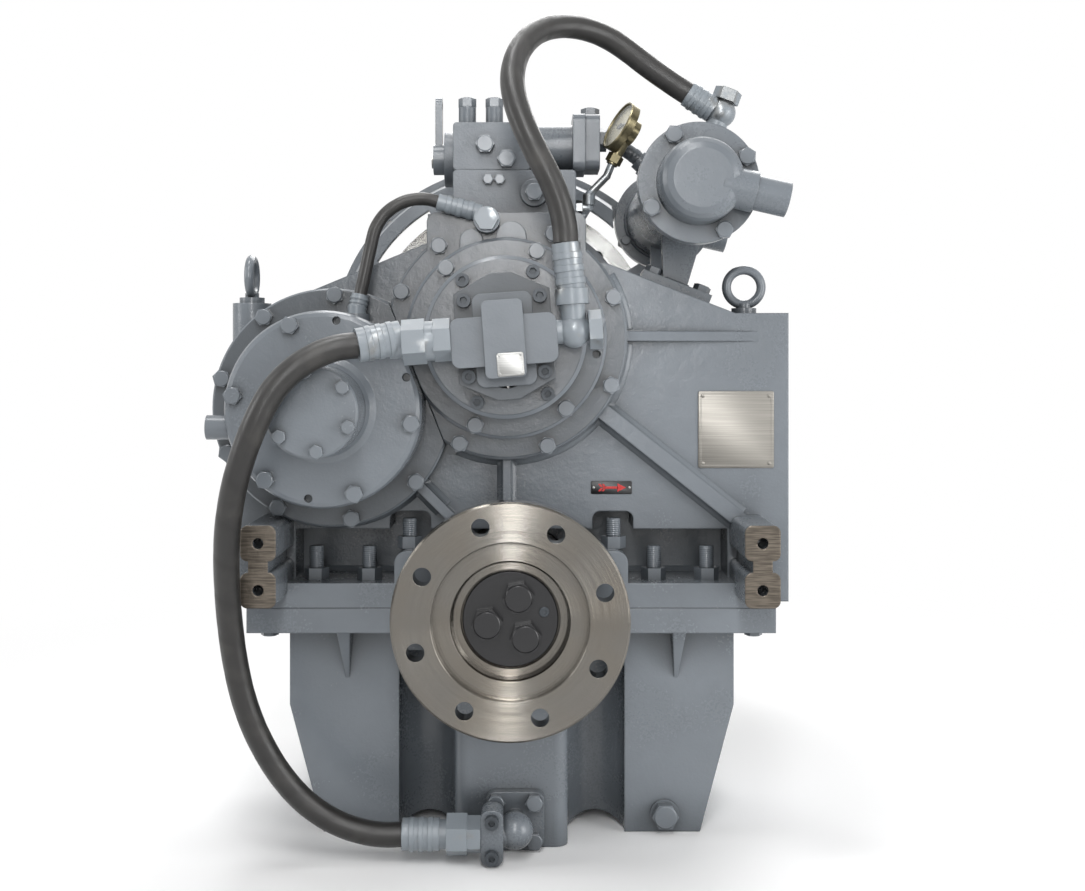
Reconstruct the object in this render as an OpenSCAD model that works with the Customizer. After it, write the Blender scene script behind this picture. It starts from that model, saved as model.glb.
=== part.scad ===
// Marine reverse-reduction gearbox. Three shafts lie in a casing that is split through the output
// axis: output, input with the ahead clutch, and reverse with the astern clutch.
// Millimetres. Origin at the centre of the output flange's front face, +Y towards the engine, +Z up.

/* [Gear train] */
// Module of the output gear and the two pinions
gear_module = 7.5; // [7.2:0.05:7.8]
// Teeth on the output gear
output_teeth = 50; // [48:1:52]
// Teeth on each pinion
pinion_teeth = 22; // [21:1:23]
// Module of the two transfer gears
transfer_module = 7; // [6.8:0.05:7.2]
// Teeth on each transfer gear
transfer_teeth = 27; // [26:1:28]
// Face width of the output gear and the pinions
gear_face = 56; // [48:1:64]
// Face width of the transfer gears
transfer_face = 60; // [54:1:66]
// Backlash at the pitch circle
backlash = 0.5; // [0.3:0.05:0.8]
// Lean of the input shaft from straight above the output shaft, in degrees
input_lean = 1.06; // [0:0.02:2]

/* [Casing] */
// Wall of the upper casing
case_wall = 14; // [12:0.5:16]
// Front wall of the upper casing behind the output flange's face
case_front_y = 120; // [116:1:126]
// Depth of the recess that the flange studs stand in
recess_depth = 50; // [46:1:54]
// Height of the recess above the split flange
recess_h = 50; // [46:1:54]
// Radial room round the transfer gears
shaft_room = 4.5; // [3:0.5:7]
// Radial room round the output gear
gear_room = 6; // [4:0.5:8]
// Room between gears and walls along the shafts
end_room = 8; // [6:0.5:10]
// Lower casing outside the output gear's bay, at each side
side_wall = 29; // [26:1:34]
// Sump below the output gear's bay
sump_depth = 39; // [36:1:46]
// Thickness of each split flange
split_flange_t = 25; // [22:1:28]
// Split flange beyond the lower casing
split_flange_out = 35; // [34:1:40]
// Upper casing beyond the split flange
case_overhang = 20; // [16:1:26]
// Front edge of the split flange
split_flange_y = 80; // [76:1:84]
// Height of the right shoulder above the input shaft
shoulder_rise = 27; // [20:1:32]
// Sloping roof's upper end above the input shaft
slope_rise = 79; // [76:1:84]
// Valve pedestal's top above the input shaft
pedestal_rise = 127; // [122:1:132]
// Half width of the valve pedestal
pedestal_half = 80; // [76:1:84]
// Half width of the bearing block round the output shaft
block_half = 117; // [115:1:120]

/* [Foot pads] */
// Distance of each pad's holes from the centre plane
pad_x = 241; // [239:1:244]
// Lower hole above the split plane
pad_hole_z = 28; // [26:1:32]
// Distance between a pad's two holes
pad_pitch = 45; // [42:1:48]
// Half width of a pad's ends
pad_r = 17; // [15:0.5:18]
// Pad face behind the output flange's face
pad_face_y = 15; // [8:1:25]
// Diameter of the pad holes
pad_hole_d = 10.5; // [9:0.5:13]

/* [Covers] */
// Thickness of the cover flanges
cover_t = 16; // [14:0.5:20]
// Height of the cover seats in front of the casing wall
boss_t = 18; // [16:1:22]
// Radius of the ring on the input cover
ring_r = 100; // [97:0.5:102]
// Thickness of that ring
ring_t = 21; // [18:1:26]
// Radius of the pump adapter
adapter_r = 78; // [76:0.5:82]
// Length of the pump adapter
adapter_t = 55; // [50:1:60]
// Radius of the reverse bearing cover
disc_r = 95.5; // [93:0.5:97]
// Length of the reverse bearing cover
disc_t = 63; // [58:1:68]
// Radius of the reverse cover's snout
snout_r = 43; // [42:0.5:46]
// Length of the snout
snout_l = 62; // [56:1:66]
// Thickness of the reverse end cap
cap_t = 8; // [6:0.5:12]

/* [Output flange] */
// Outer diameter
flange_d = 228; // [222:1:236]
// Thickness of the rim
flange_t = 25; // [22:1:28]
// Bolt circle
flange_pcd = 188; // [184:1:192]
// Diameter of the bolt holes
flange_hole_d = 17.5; // [14:0.5:19]
// Diameter of the locating recess
spigot_d = 150; // [146:1:154]
// Depth of the locating recess
spigot_depth = 8; // [5:0.5:10]
// Radius of the hub behind the rim
hub_r = 58; // [55:0.5:60]

/* [Shafts] */
// Radius of the output shaft inside the flange
output_nose_r = 38; // [36:0.5:40]
// Radius of the output shaft at its front bearing
output_seat_r = 45; // [43:0.5:46]
// Radius of the input and reverse shafts
clutch_shaft_r = 32; // [30:0.5:33]
// Radius of the pinions' clutch hubs
clutch_hub_r = 58; // [56:0.5:60]
// Thickness of a clutch plate
plate_t = 3; // [2.6:0.1:3.2]
// Pairs of clutch plates in each clutch
plate_pairs = 4; // [3:1:4]

/* [Bell housing] */
// Length of the bell housing
bell_l = 125; // [120:1:132]
// Outer diameter of the engine flange
bell_od = 451; // [448:1:460]
// Radial width of the engine flange
bell_rim = 20.7; // [18:0.1:24]
// Distance of the engine flange's hole centres from its edge
bell_hole_edge = 11.2; // [10:0.1:12]
// Diameter of the engine flange's holes
bell_hole_d = 10.7; // [9:0.1:12]
// Outer diameter of the flywheel ring
coupling_od = 352.4; // [346:0.2:356]
// Flywheel ring's face inside the engine flange
flywheel_depth = 39.6; // [36:0.2:44]

/* [Pump] */
// Turn of the pump on its adapter, in degrees
pump_tilt = 4; // [2:0.5:6]
// Half width of the pump body
pump_half = 44.5; // [43:0.5:47]
// Length of the pump body
pump_body_t = 42; // [38:1:46]
// Length of the pump's port cover
pump_cover_t = 40; // [36:1:44]
// Module of the pump gears
pump_module = 3; // [2.8:0.05:3.2]
// Teeth on each pump gear
pump_teeth = 10; // [9:1:11]

/* [Control valve] */
// Height of the valve base
valve_base_h = 46; // [42:1:50]
// Height of the valve body
valve_body_h = 49; // [46:1:54]
// Front of the valve behind the output flange's face
valve_front_y = 110; // [108:1:114]
// Depth of the valve
valve_depth = 80; // [76:1:86]
// Length of the control lever from its shaft
lever_l = 56; // [50:1:70]

/* [Oil cooler] */
// Radius of the shell
shell_r = 45; // [42:0.5:47]
// Radius of the end flanges
cooler_flange_r = 58.5; // [57:0.5:60]
// Distance of the cooler's axis from the sloping roof
cooler_lift = 96; // [92:1:100]
// Front face of the cooler's end flange
cooler_front_y = 25; // [20:1:30]
// Room between the rear cap and the bell housing's relief
cooler_rear_room = 12; // [6:1:40]
// Radius of the water stubs
stub_r = 17; // [15:0.5:18]

/* [Fasteners] */
// Shank radius of the hex bolts
bolt_r = 5; // [4.5:0.1:5.5]
// Width across flats of the hex bolts
bolt_af = 16; // [14:0.5:17]
// Shank radius of the socket screws
screw_r = 4; // [3.5:0.1:4.5]
// Shank radius of the casing studs
stud_r = 7; // [6:0.25:8]
// Outer radius of the eye bolts' rings
eye_r = 23; // [21:0.5:25]
// Radius of the eye bolts' bars
eye_bar = 4.8; // [4:0.2:6]

/* [Clearances] */
// Radial room of running fits
run_fit = 0.05; // [0.02:0.01:0.1]
// Radial room of pressed seats
seat_fit = 0.02; // [0.01:0.01:0.03]
// Radial room of bolts in their holes
bolt_room = 0.3; // [0.2:0.05:0.5]
// Room between neighbours that don't touch
gap = 0.3; // [0.2:0.05:0.6]

/* [Hidden] */
$fn = 48;

// Colours as the photograph shows them
paint = "slategray";
machined = "silver";
rubber = "dimgray";
black = "black";
zinc = "gainsboro";
brass = "darkkhaki";

// Shaft positions
centre_d = gear_module * (output_teeth + pinion_teeth) / 2;
transfer_d = transfer_module * transfer_teeth;
input_angle = 90 + input_lean;
reverse_angle = input_angle + 2 * asin(transfer_d / 2 / centre_d);
input_x = centre_d * cos(input_angle);
input_z = centre_d * sin(input_angle);
reverse_x = centre_d * cos(reverse_angle);
reverse_z = centre_d * sin(reverse_angle);
meeting_angle = atan2(reverse_z - input_z, reverse_x - input_x);

// Gears
output_tip_r = gear_module * (output_teeth / 2 + 1);
transfer_tip_r = transfer_module * (transfer_teeth / 2 + 1);
transfer_root_r = transfer_module * (transfer_teeth / 2 - 1.25);
output_root_r = gear_module * (output_teeth / 2 - 1.25);
gear_bay_r = output_tip_r + gear_room;
shaft_bay_r = transfer_tip_r + shaft_room;

// Stations along the shafts
recess_back_y = case_front_y + recess_depth;
gear_bay_y = recess_back_y + end_room;
gear_y0 = gear_bay_y + end_room;
gear_y1 = gear_y0 + gear_face;
drum_y0 = gear_y1 + end_room;
drum_web_t = 16;
drum_y1 = drum_y0 + transfer_face + 10;
rear_boss_y = drum_y1 + 1.5;
rear_inner_y = drum_y1 + 11;
case_rear_y = rear_inner_y + case_wall;
inner_front_y = case_front_y + case_wall;
cover_seat_y = case_front_y - boss_t;
cover_face_y = cover_seat_y - cover_t;
disc_face_y = cover_face_y - disc_t;
snout_y = disc_face_y - snout_l;
bell_rear_y = case_rear_y + bell_l;
engine_flange_y = bell_rear_y - 14;
relief_y = engine_flange_y - 5;
bell_bore_d = bell_od - 2 * bell_rim;
bell_pcd = bell_od - 2 * bell_hole_edge;
coupling_pcd = coupling_od - 19;

// Casing outline
hump_r = shaft_bay_r + case_wall + 3;
boss_r = shaft_bay_r + case_wall;
lower_half = gear_bay_r + side_wall;
flange_half = lower_half + split_flange_out;
case_half = flange_half + case_overhang;
base_z = -(gear_bay_r + sump_depth);
skirt_z = split_flange_t + recess_h;
notch_rise = 18;
notch_half = 21;
shoulder_z = input_z + shoulder_rise;
shoulder_x = case_half - 55;
slope_z = input_z + slope_rise;
slope_x = input_x + 101;
pedestal_z = input_z + pedestal_rise;
slope_angle = atan2(slope_z - shoulder_z, shoulder_x - slope_x);
block_top = 57;
block_drop = 42;
opening_r = shaft_bay_r - 22;
column_half = 57;
column_y = split_flange_y + 3;
lobe_y = split_flange_y + 50;
channel_r = 30;
arch_rise = 12;
arch_r = (channel_r * channel_r + arch_rise * arch_rise) / (2 * arch_rise);

// Bearings, from the shaft outwards
cone_t = 8;
roller_r = 5.5;
cup_t = 11;
function cup_in(seat, cone, roller) = seat + cone + 2 * roller + run_fit;
clutch_cup_in = cup_in(clutch_shaft_r, cone_t, roller_r);
clutch_cup_r = clutch_cup_in + cup_t;
front_cone_t = 9;
front_roller_r = 6;
front_cup_in = cup_in(output_seat_r, front_cone_t, front_roller_r);
front_cup_r = front_cup_in + 9;
rear_seat_r = output_nose_r + 2;
rear_cone_t = 6;
rear_roller_r = 4;
rear_cup_in = cup_in(rear_seat_r, rear_cone_t, rear_roller_r);
rear_cup_r = rear_cup_in + 6;
rear_housing_r = rear_cup_r + 8;
front_cup_y = case_front_y - 2;
front_cup_l = 40;
rear_cup_l = 28;
rear_cup_y = case_rear_y - rear_cup_l - 6;
clutch_cup_l = 22;
clutch_front_y = cover_face_y + 4;
clutch_rear_y = case_rear_y - clutch_cup_l - 1;

// Output flange
plate_seat_y = 20;
retainer_t = 10;
retainer_r = 46;
retainer_bolt_r = 9;
retainer_bolt_pcr = 22.5;
retainer_angles = [70, 190, 310];
hub_end_y = front_cup_y - 8;
seal_y = split_flange_y + 4;
seal_t = 14;

// Fastener patterns
input_bolt_pcr = hump_r - 8;
reverse_bolt_pcr = boss_r - 7;
ring_bolt_pcr = ring_r - 9;
disc_bolt_pcr = disc_r - 9;
cap_bolt_pcr = snout_r - 6.5;
cap_bolt_r = 4;
cap_bolt_af = 12;
adapter_screw_pcr = adapter_r - 10.5;
pump_screw_pcr = 49.6;
input_bolt_angles = [21, 66, 126, 156, 246, 291, 336];
reverse_bolt_angles = [for (i = [0:6]) 88 + 38.5 * i];
ring_bolt_angles = [10.5, 70.5, 130.5, 250.5, 310.5];
disc_bolt_angles = [for (i = [0:5]) 51 + 60 * i];
cap_bolt_angles = [for (i = [0:5]) 38 + 60 * i];
adapter_screw_angles = [67, 127, 247, 307];
pump_screw_angles = [for (i = [0:3]) 49 + 90 * i - pump_tilt];
bell_bolt_angles = [for (i = [0:7]) 12 + 45 * i];
bell_bolt_pcr = shaft_bay_r + 8;
bolt_head_t = 7;
bell_wall = 12;
bell_bolt_l = bell_wall + 9;
cover_bolt_l = cover_t + 24;
stud_y = split_flange_y + 30;
stud_xs = [for (s = [-1, 1]) for (x = [block_half + 28, block_half + 82]) s * x];
block_stud_x = block_half - 13;
under_bolt_x = lower_half + 17;
under_bolt_ys = [stud_y, stud_y + 90, stud_y + 180];
stud_depth = split_flange_t - 5;
nut_t = 12;
nut_af = 22;

// Meeting plane of the two covers, measured from the input shaft
meet_d = (transfer_d * transfer_d + hump_r * hump_r - boss_r * boss_r) / (2 * transfer_d);

// Pump
pump_back_y = cover_face_y - ring_t - adapter_t;
pump_face_y = pump_back_y - pump_body_t;
pump_front_y = pump_face_y - pump_cover_t;
port_y = pump_face_y - pump_cover_t / 2;
pump_gear_l = pump_body_t - 14;
pump_gear_y = pump_face_y + 4;
pump_pitch = pump_module * pump_teeth;
pump_tip_r = pump_module * (pump_teeth / 2 + 1);
pump_shaft_r = 11;
idler_pin_r = 8;
port_block_half = 48;
banjo_x = 64;

// Control valve
pedestal_rear_y = valve_front_y + valve_depth + 10;
valve_z0 = pedestal_z;
valve_z1 = valve_z0 + valve_base_h;
valve_z2 = valve_z1 + valve_body_h;
valve_mid_y = valve_front_y + valve_depth / 2;
lever_z = valve_z1 + 16;
valve_x0 = input_x - 55;
valve_base_x1 = input_x + 71;
valve_body_x1 = input_x + 24;
spool_r = 9;
side_plate_t = 10;
lever_x = valve_x0 - side_plate_t - 12;
lever_t = 7;
regulator_z = valve_z1 + 27;
regulator_r = 25;
regulator_x1 = valve_base_x1 - 3;
end_plate_x1 = regulator_x1 + 28;
plug_columns = [14, 42];

// Oil cooler, placed on the sloping roof
cooler_along = 54;
cooler_x = slope_x + cooler_along * cos(slope_angle) + cooler_lift * sin(slope_angle);
cooler_z = slope_z - cooler_along * sin(slope_angle) + cooler_lift * cos(slope_angle);
cooler_flange_t = 10;
cooler_dome_t = 38;
cooler_rear_y = relief_y - cooler_rear_room - cooler_dome_t;
foot_shift = 25;
cooler_bolt_pcr = cooler_flange_r - 7;
cooler_bolt_angles = [for (i = [0:3]) 28 + 90 * i];
cooler_feet_y = [155, 290];
foot_t = 10;
stub_angle = -13;
stub_l = 84;
pressure_port_y = 85;
pressure_port_angle = 69.5;
pressure_elbow = 83;
return_port_y = valve_mid_y + 20;
return_port_angle = 137;
port_boss_r = 13;

// Eye bolts
left_eye = [-case_half + 12, 150, input_z + 38];
right_eye = [shoulder_x + 13.5, 150, shoulder_z];
eye_collar_r = 13;
eye_collar_t = 6;
eye_shank_r = 6;

// Suction elbow at the foot of the sump's column
elbow_z = base_z + 30;
elbow_x = 4;
elbow_r = 20;
suction_port_z = base_z + 28;
suction_port_y = 38;
elbow_block_x0 = -29;
elbow_block_x1 = -7;

// Gauge
gauge_mid = [input_x + 115, 128, valve_z2];
gauge_out = [-0.84, -0.29, 0.46];
gauge_down = [-0.47, -0.03, -0.88];
gauge_r = 27;
gauge_back = 14;

// Hose routes
suction_r = 12;
suction_route = [
  [-137, -62, 261], [-163, -68.5, 256], [-187, -73.5, 243], [-208, -76, 223], [-223.5, -76, 196],
  [-237, -70, 165], [-249, -58, 130], [-258.5, -40, 88], [-263.5, -17, 38], [-262.5, 2, -20],
  [-252, 16, -84], [-231, 26, -136], [-201, 33, -177], [-165, 37, -202], [-128, 38, -212],
  [-105, 38, -212]
];
pressure_r = 11.5;
pressure_route = [
  [51, -52, 354], [47.5, -52.5, 382], [38, -54, 409], [25.5, -53, 434], [13.5, -48.5, 460],
  [5, -39.5, 486], [2.5, -26, 511], [7, -9, 534], [18, 10, 554], [35, 29.5, 568], [57, 48, 574.5],
  [81.5, 63, 573], [106, 74, 563.5], [130, 80.5, 547.5], [153.5, 83, 531], [177, 83, 515.5]
];
clutch_hose_r = 6.5;
clutch_route = [
  [-73, 75, 406], [-82.2, 74.9, 408.4], [-91.6, 74.6, 408.9], [-101, 74.3, 407.7],
  [-109.9, 73.9, 404.6], [-118.1, 73.4, 399.9], [-125.3, 72.9, 393.7], [-131.1, 72.3, 386.2],
  [-135.4, 71.7, 377.8], [-138, 71, 368.7], [-139.9, 70.3, 359.4], [-141.8, 69.5, 350.1],
  [-143.6, 68.7, 340.9], [-145.5, 67.8, 331.6], [-147.4, 66.9, 322.3], [-149.3, 66, 313]
];

// Points along a gear's outline: straight root and tip lands, flanks on the involute
function involute(r, base_r) =
  r <= base_r ? 0 : let (t = sqrt(r * r / base_r / base_r - 1)) t * 180 / PI - atan(t);
function half_tooth(r, m, teeth) =
  let (pitch_r = m * teeth / 2, base_r = pitch_r * cos(20))
  90 / teeth - backlash / 2 / pitch_r * 90 / PI + involute(pitch_r, base_r) - involute(r, base_r);
function tooth_radii(m, teeth) = [for (k = [-1.25, -0.5, 0, 0.5, 1]) m * (teeth / 2 + k)];
function gear_points(m, teeth, phase) = [
  for (i = [0:teeth - 1]) for (side = [-1, 1]) for (k = [0:4])
    let (r = tooth_radii(m, teeth)[side < 0 ? k : 4 - k])
    let (a = phase + i * 360 / teeth + side * half_tooth(r, m, teeth))
    [r * cos(a), r * sin(a)]
];
// Phase of a gear that meshes with another one at direction theta
function mesh_phase(theta, teeth, other_teeth, other_phase) =
  theta + 180 - 360 / teeth * (0.5 - (theta - other_phase) / (360 / other_teeth));

// Frames along a route, carried from ring to ring without twist
function unit(v) = v / norm(v);
function heading(p, i) = unit(p[min(i + 1, len(p) - 1)] - p[max(i - 1, 0)]);
function carried(p, i, n) =
  i == len(p) ? [] : let (t = heading(p, i), m = unit(n - (n * t) * t)) concat([m], carried(p, i + 1, m));

module at_input() { translate([input_x, 0, input_z]) children(); }

module at_reverse() { translate([reverse_x, 0, reverse_z]) children(); }

module pump_frame() { at_input() rotate([0, -pump_tilt, 0]) children(); }

// A flat shape in X and Z, carried from y0 to y1
module along_y(y0, y1) { translate([0, y1, 0]) rotate([90, 0, 0]) linear_extrude(y1 - y0) children(); }

// A flat shape in Y and Z, carried from x0 to x1
module along_x(x0, x1) { translate([x0, 0, 0]) rotate([90, 0, 90]) linear_extrude(x1 - x0) children(); }

module rod_y(r, y0, y1) { translate([0, y0, 0]) rotate([-90, 0, 0]) cylinder(r = r, h = y1 - y0); }

module rod_x(r, x0, x1) { translate([x0, 0, 0]) rotate([0, 90, 0]) cylinder(r = r, h = x1 - x0); }

module rod_z(r, z0, z1) { translate([0, 0, z0]) cylinder(r = r, h = z1 - z0); }

module hex_y(af, y0, y1) {
  translate([0, y0, 0]) rotate([-90, 0, 0]) cylinder(d = af / cos(30), h = y1 - y0, $fn = 6);
}

module hex_x(af, x0, x1) {
  translate([x0, 0, 0]) rotate([0, 90, 0]) cylinder(d = af / cos(30), h = x1 - x0, $fn = 6);
}

module hex_z(af, z0, z1) { translate([0, 0, z0]) cylinder(d = af / cos(30), h = z1 - z0, $fn = 6); }

module slab(x0, x1, y0, y1, z0, z1) { translate([x0, y0, z0]) cube([x1 - x0, y1 - y0, z1 - z0]); }

// A body of revolution about Y from points of radius and y
module turned(points) { rotate([-90, 0, 0]) rotate_extrude() polygon(points); }

module ring_y(r_in, r_out, y0, y1) { turned([[r_in, y0], [r_out, y0], [r_out, y1], [r_in, y1]]); }

// Copies on a circle about Y, at angles from +X towards +Z
module at_angles(r, angles) { for (a = angles) rotate([0, -a, 0]) translate([r, 0, 0]) children(); }

module round_rect(x0, x1, z0, z1, r) {
  translate([x0 + r, z0]) square([x1 - x0 - 2 * r, z1 - z0]);
  translate([x0, z0 + r]) square([x1 - x0, z1 - z0 - 2 * r]);
  for (x = [x0 + r, x1 - r]) for (z = [z0 + r, z1 - r]) translate([x, z]) circle(r);
}

// A bar in the plane from p to q
module strut(p, q, w) {
  n = [-(q - p)[1], (q - p)[0]] / norm(q - p) * w / 2;
  polygon([p + n, p - n, q - n, q + n]);
}

// Children along +Z are turned to start at p and point along d
module aim(p, d) { translate(p) rotate([0, acos(unit(d)[2]), atan2(d[1], d[0])]) children(); }

// A hose through its route's points, one ring of corners at each
module hose(route, r) {
  sides = 12;
  count = len(route);
  ends = carried(route, 0, [0.02, 1, 0.03]);
  corners = [
    for (i = [0:count - 1]) for (j = [0:sides - 1])
      let (a = j * 360 / sides, n = ends[i], b = cross(heading(route, i), n))
      route[i] + r * (cos(a) * n + sin(a) * b)
  ];
  walls = [
    for (i = [0:count - 2]) for (j = [0:sides - 1])
      let (k = (j + 1) % sides, a = i * sides + j, b = i * sides + k, c = a + sides, d = b + sides)
      each [[a, c, b], [b, c, d]]
  ];
  caps = [[for (j = [0:sides - 1]) j], [for (j = [sides - 1:-1:0]) (count - 1) * sides + j]];
  polyhedron(corners, concat(walls, caps));
}

// A rigid pipe through points, with a ball at each bend
module pipe_run(points, r) {
  for (i = [0:len(points) - 2])
    aim(points[i], points[i + 1] - points[i]) cylinder(r = r, h = norm(points[i + 1] - points[i]));
  for (i = [1:len(points) - 2]) translate(points[i]) sphere(r * 1.06);
}

// A hex bolt with its seat at y = 0 and its shank along +Y
module hex_bolt(l) {
  hex_y(bolt_af, -bolt_head_t, 0);
  rod_y(bolt_r, -1, l);
}

module bolt_hole(l) { rod_y(bolt_r + bolt_room, -1, l + 1); }

// A socket screw with its seat at y = 0
module socket_screw(l) {
  difference() {
    rod_y(screw_r * 1.65, -screw_r * 2, 0);
    hex_y(screw_r * 1.5, -screw_r * 2 - 1, -screw_r);
  }
  rod_y(screw_r, -1, l);
}

module screw_hole(l) { rod_y(screw_r + bolt_room, -1, l + 1); }

// Fastener stations: children sit on each fastener's seat
module input_bolts_at() {
  at_input() at_angles(input_bolt_pcr, input_bolt_angles) translate([0, cover_face_y, 0]) children();
}

module reverse_bolts_at() {
  at_reverse() at_angles(reverse_bolt_pcr, reverse_bolt_angles) translate([0, cover_face_y, 0]) children();
}

module ring_bolts_at() {
  at_input() at_angles(ring_bolt_pcr, ring_bolt_angles) translate([0, cover_face_y - ring_t, 0]) children();
}

module disc_bolts_at() {
  at_reverse() at_angles(disc_bolt_pcr, disc_bolt_angles) translate([0, disc_face_y, 0]) children();
}

module cap_bolts_at() {
  at_reverse() at_angles(cap_bolt_pcr, cap_bolt_angles) translate([0, snout_y - cap_t, 0]) children();
}

module bell_bolts_at() {
  at_input() at_angles(bell_bolt_pcr, bell_bolt_angles)
    translate([0, case_rear_y + bell_wall, 0]) mirror([0, 1, 0]) children();
}

module adapter_screws_at() {
  at_input() at_angles(adapter_screw_pcr, adapter_screw_angles) translate([0, pump_back_y, 0]) children();
}

module pump_screws_at() {
  pump_frame() at_angles(pump_screw_pcr, pump_screw_angles) translate([0, pump_face_y, 0]) children();
}

module retainer_bolts_at() {
  at_angles(retainer_bolt_pcr, retainer_angles) translate([0, plate_seat_y, 0]) children();
}

// Everything beyond the meeting plane, as seen from one of the two clutch shafts
module beyond_meeting(angle, d) {
  rotate([0, -angle, 0]) translate([d, -case_half, -case_half]) cube(2 * case_half);
}

// Roof, walls and humps of the upper casing
module upper_outline() {
  polygon([
    [-case_half, 0], [case_half, 0], [case_half, shoulder_z], [shoulder_x, shoulder_z], [slope_x, slope_z],
    [input_x, input_z + hump_r * 0.5], [reverse_x, reverse_z], [-case_half, reverse_z]
  ]);
  lean = [cos(meeting_angle - 90), sin(meeting_angle - 90)];
  front = [input_x, input_z];
  back = [reverse_x, reverse_z];
  polygon([front, front + hump_r * lean, back + boss_r * lean, back]);
  translate([input_x, input_z]) circle(hump_r);
  translate([reverse_x, reverse_z]) circle(boss_r);
}

// A bone: two blunt ends and a narrow waist
module pad_outline() {
  for (z = [pad_hole_z, pad_hole_z + pad_pitch]) round_rect(-pad_r, pad_r, z - pad_r, z + pad_r, pad_r * 0.4);
  translate([-pad_r * 0.55, pad_hole_z]) square([pad_r * 1.1, pad_pitch]);
}

module front_ribs() {
  rib_y = cover_seat_y + 4;
  root_x = input_x + hump_r - 6;
  translate([0, 0, input_z - 2])
    linear_extrude(10)
      polygon([[root_x, case_front_y + 1], [root_x, rib_y], [case_half - 20, case_front_y + 1]]);
  along_y(rib_y, case_front_y + 1)
    strut([input_x + 96, input_z - 72], [pad_x, pad_hole_z + pad_pitch + 6], 16);
  along_y(rib_y, case_front_y + 1) strut([input_x, input_z - hump_r + 4], [input_x, skirt_z + 10], 8);
  along_y(rib_y, case_front_y + 1) strut([-102, skirt_z + 53], [-62, skirt_z + 13], 10);
}

// Bays for the gears, shared by both casing halves
module gear_bays() {
  at_input() rod_y(shaft_bay_r, inner_front_y, rear_inner_y);
  at_reverse() rod_y(shaft_bay_r, inner_front_y, rear_inner_y);
  rod_y(gear_bay_r, gear_bay_y, rear_inner_y);
}

// Hollow of the upper casing's right side, under the shoulder
module side_bay() {
  x0 = input_x + 80;
  x1 = case_half - case_wall;
  z0 = skirt_z + notch_rise + case_wall;
  along_y(inner_front_y, rear_inner_y)
    polygon([
      [x0, z0], [x1, z0], [x1, shoulder_z - case_wall], [shoulder_x - 4, shoulder_z - case_wall],
      [x0, slope_z - 2 * case_wall]
    ]);
}

// Bores for the output shaft's bearings, in both casing halves
module output_bores() {
  rod_y(front_cup_r + seat_fit, split_flange_y - 1, gear_bay_y + 1);
  rod_y(rear_cup_r + seat_fit, rear_cup_y - 60, case_rear_y - 4);
}

module stud_holes(z0, z1) {
  for (x = concat(stud_xs, [-block_stud_x, block_stud_x])) translate([x, stud_y, 0])
    rod_z(stud_r + bolt_room, z0, z1);
}

module under_bolt_holes(z0, z1) {
  for (x = [-under_bolt_x, under_bolt_x]) for (y = under_bolt_ys) translate([x, y, 0])
    rod_z(bolt_r + bolt_room, z0, z1);
}

// Cooler frame: Z leaves the sloping roof at right angles
module cooler_frame() { translate([cooler_x, 0, cooler_z]) rotate([0, slope_angle, 0]) children(); }

module foot_bolts_at() {
  for (y = cooler_feet_y) for (x = [foot_shift - 27, foot_shift + 27])
    translate([x, y, -cooler_lift + foot_t]) rotate([-90, 0, 0]) children();
}

module upper_casing() {
  color(paint)
    difference() {
      union() {
        difference() {
          union() {
            along_y(case_front_y, case_rear_y) upper_outline();
            at_input() rod_y(hump_r, cover_seat_y, inner_front_y);
            at_reverse() rod_y(boss_r, cover_seat_y, inner_front_y);
            at_input() slab(-pedestal_half, pedestal_half, cover_seat_y, pedestal_rear_y, 0, pedestal_rise);
            front_ribs();
          }
          slab(-pad_x + pad_r + 2, pad_x - pad_r - 2, split_flange_y, recess_back_y, -1, skirt_z);
          for (x = [-block_stud_x, block_stud_x])
            along_y(split_flange_y, recess_back_y)
              round_rect(x - notch_half, x + notch_half, skirt_z - 12, skirt_z + notch_rise, 8);
        }
        slab(-flange_half, flange_half, split_flange_y, case_rear_y, 0, split_flange_t);
        along_y(split_flange_y, gear_bay_y) round_rect(-block_half, block_half, -20, block_top, 12);
        for (side = [-1, 1])
          translate([side * pad_x, 0, 0]) along_y(pad_face_y, inner_front_y) pad_outline();
        rod_y(rear_housing_r, rear_cup_y - 4, case_rear_y + 8);
        translate([left_eye[0], left_eye[1], 0]) rod_z(20, reverse_z, left_eye[2]);
      }
      difference() {
        union() {
          gear_bays();
          side_bay();
        }
        at_input() rod_y(clutch_cup_r + 12, rear_boss_y, case_rear_y);
        at_reverse() rod_y(clutch_cup_r + 12, rear_boss_y, case_rear_y);
        rod_y(rear_housing_r, rear_cup_y - 4, case_rear_y);
      }
      at_input() rod_y(opening_r + seat_fit, cover_seat_y - 1, inner_front_y + 1);
      at_reverse() rod_y(opening_r + seat_fit, cover_seat_y - 1, inner_front_y + 1);
      at_input() rod_y(clutch_cup_r + seat_fit, rear_boss_y - 1, case_rear_y + 1);
      at_reverse() rod_y(clutch_cup_r + seat_fit, rear_boss_y - 1, case_rear_y + 1);
      output_bores();
      slab(-case_half - 50, case_half + 50, -50, case_rear_y + 50, base_z, 0);
      stud_holes(-1, block_top + 1);
      under_bolt_holes(-1, split_flange_t - 6);
      for (x = [-pad_x, pad_x]) for (z = [pad_hole_z, pad_hole_z + pad_pitch])
        translate([x, 0, z]) rod_y(pad_hole_d / 2, pad_face_y - 1, pad_face_y + 40);
      input_bolts_at() bolt_hole(cover_bolt_l);
      reverse_bolts_at() bolt_hole(cover_bolt_l);
      bell_bolts_at() bolt_hole(bell_bolt_l);
      for (e = [left_eye, right_eye]) translate(e) rod_z(eye_shank_r + bolt_room, -21, 1);
      cooler_frame() foot_bolts_at() bolt_hole(foot_t + 14);
    }
}

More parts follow.
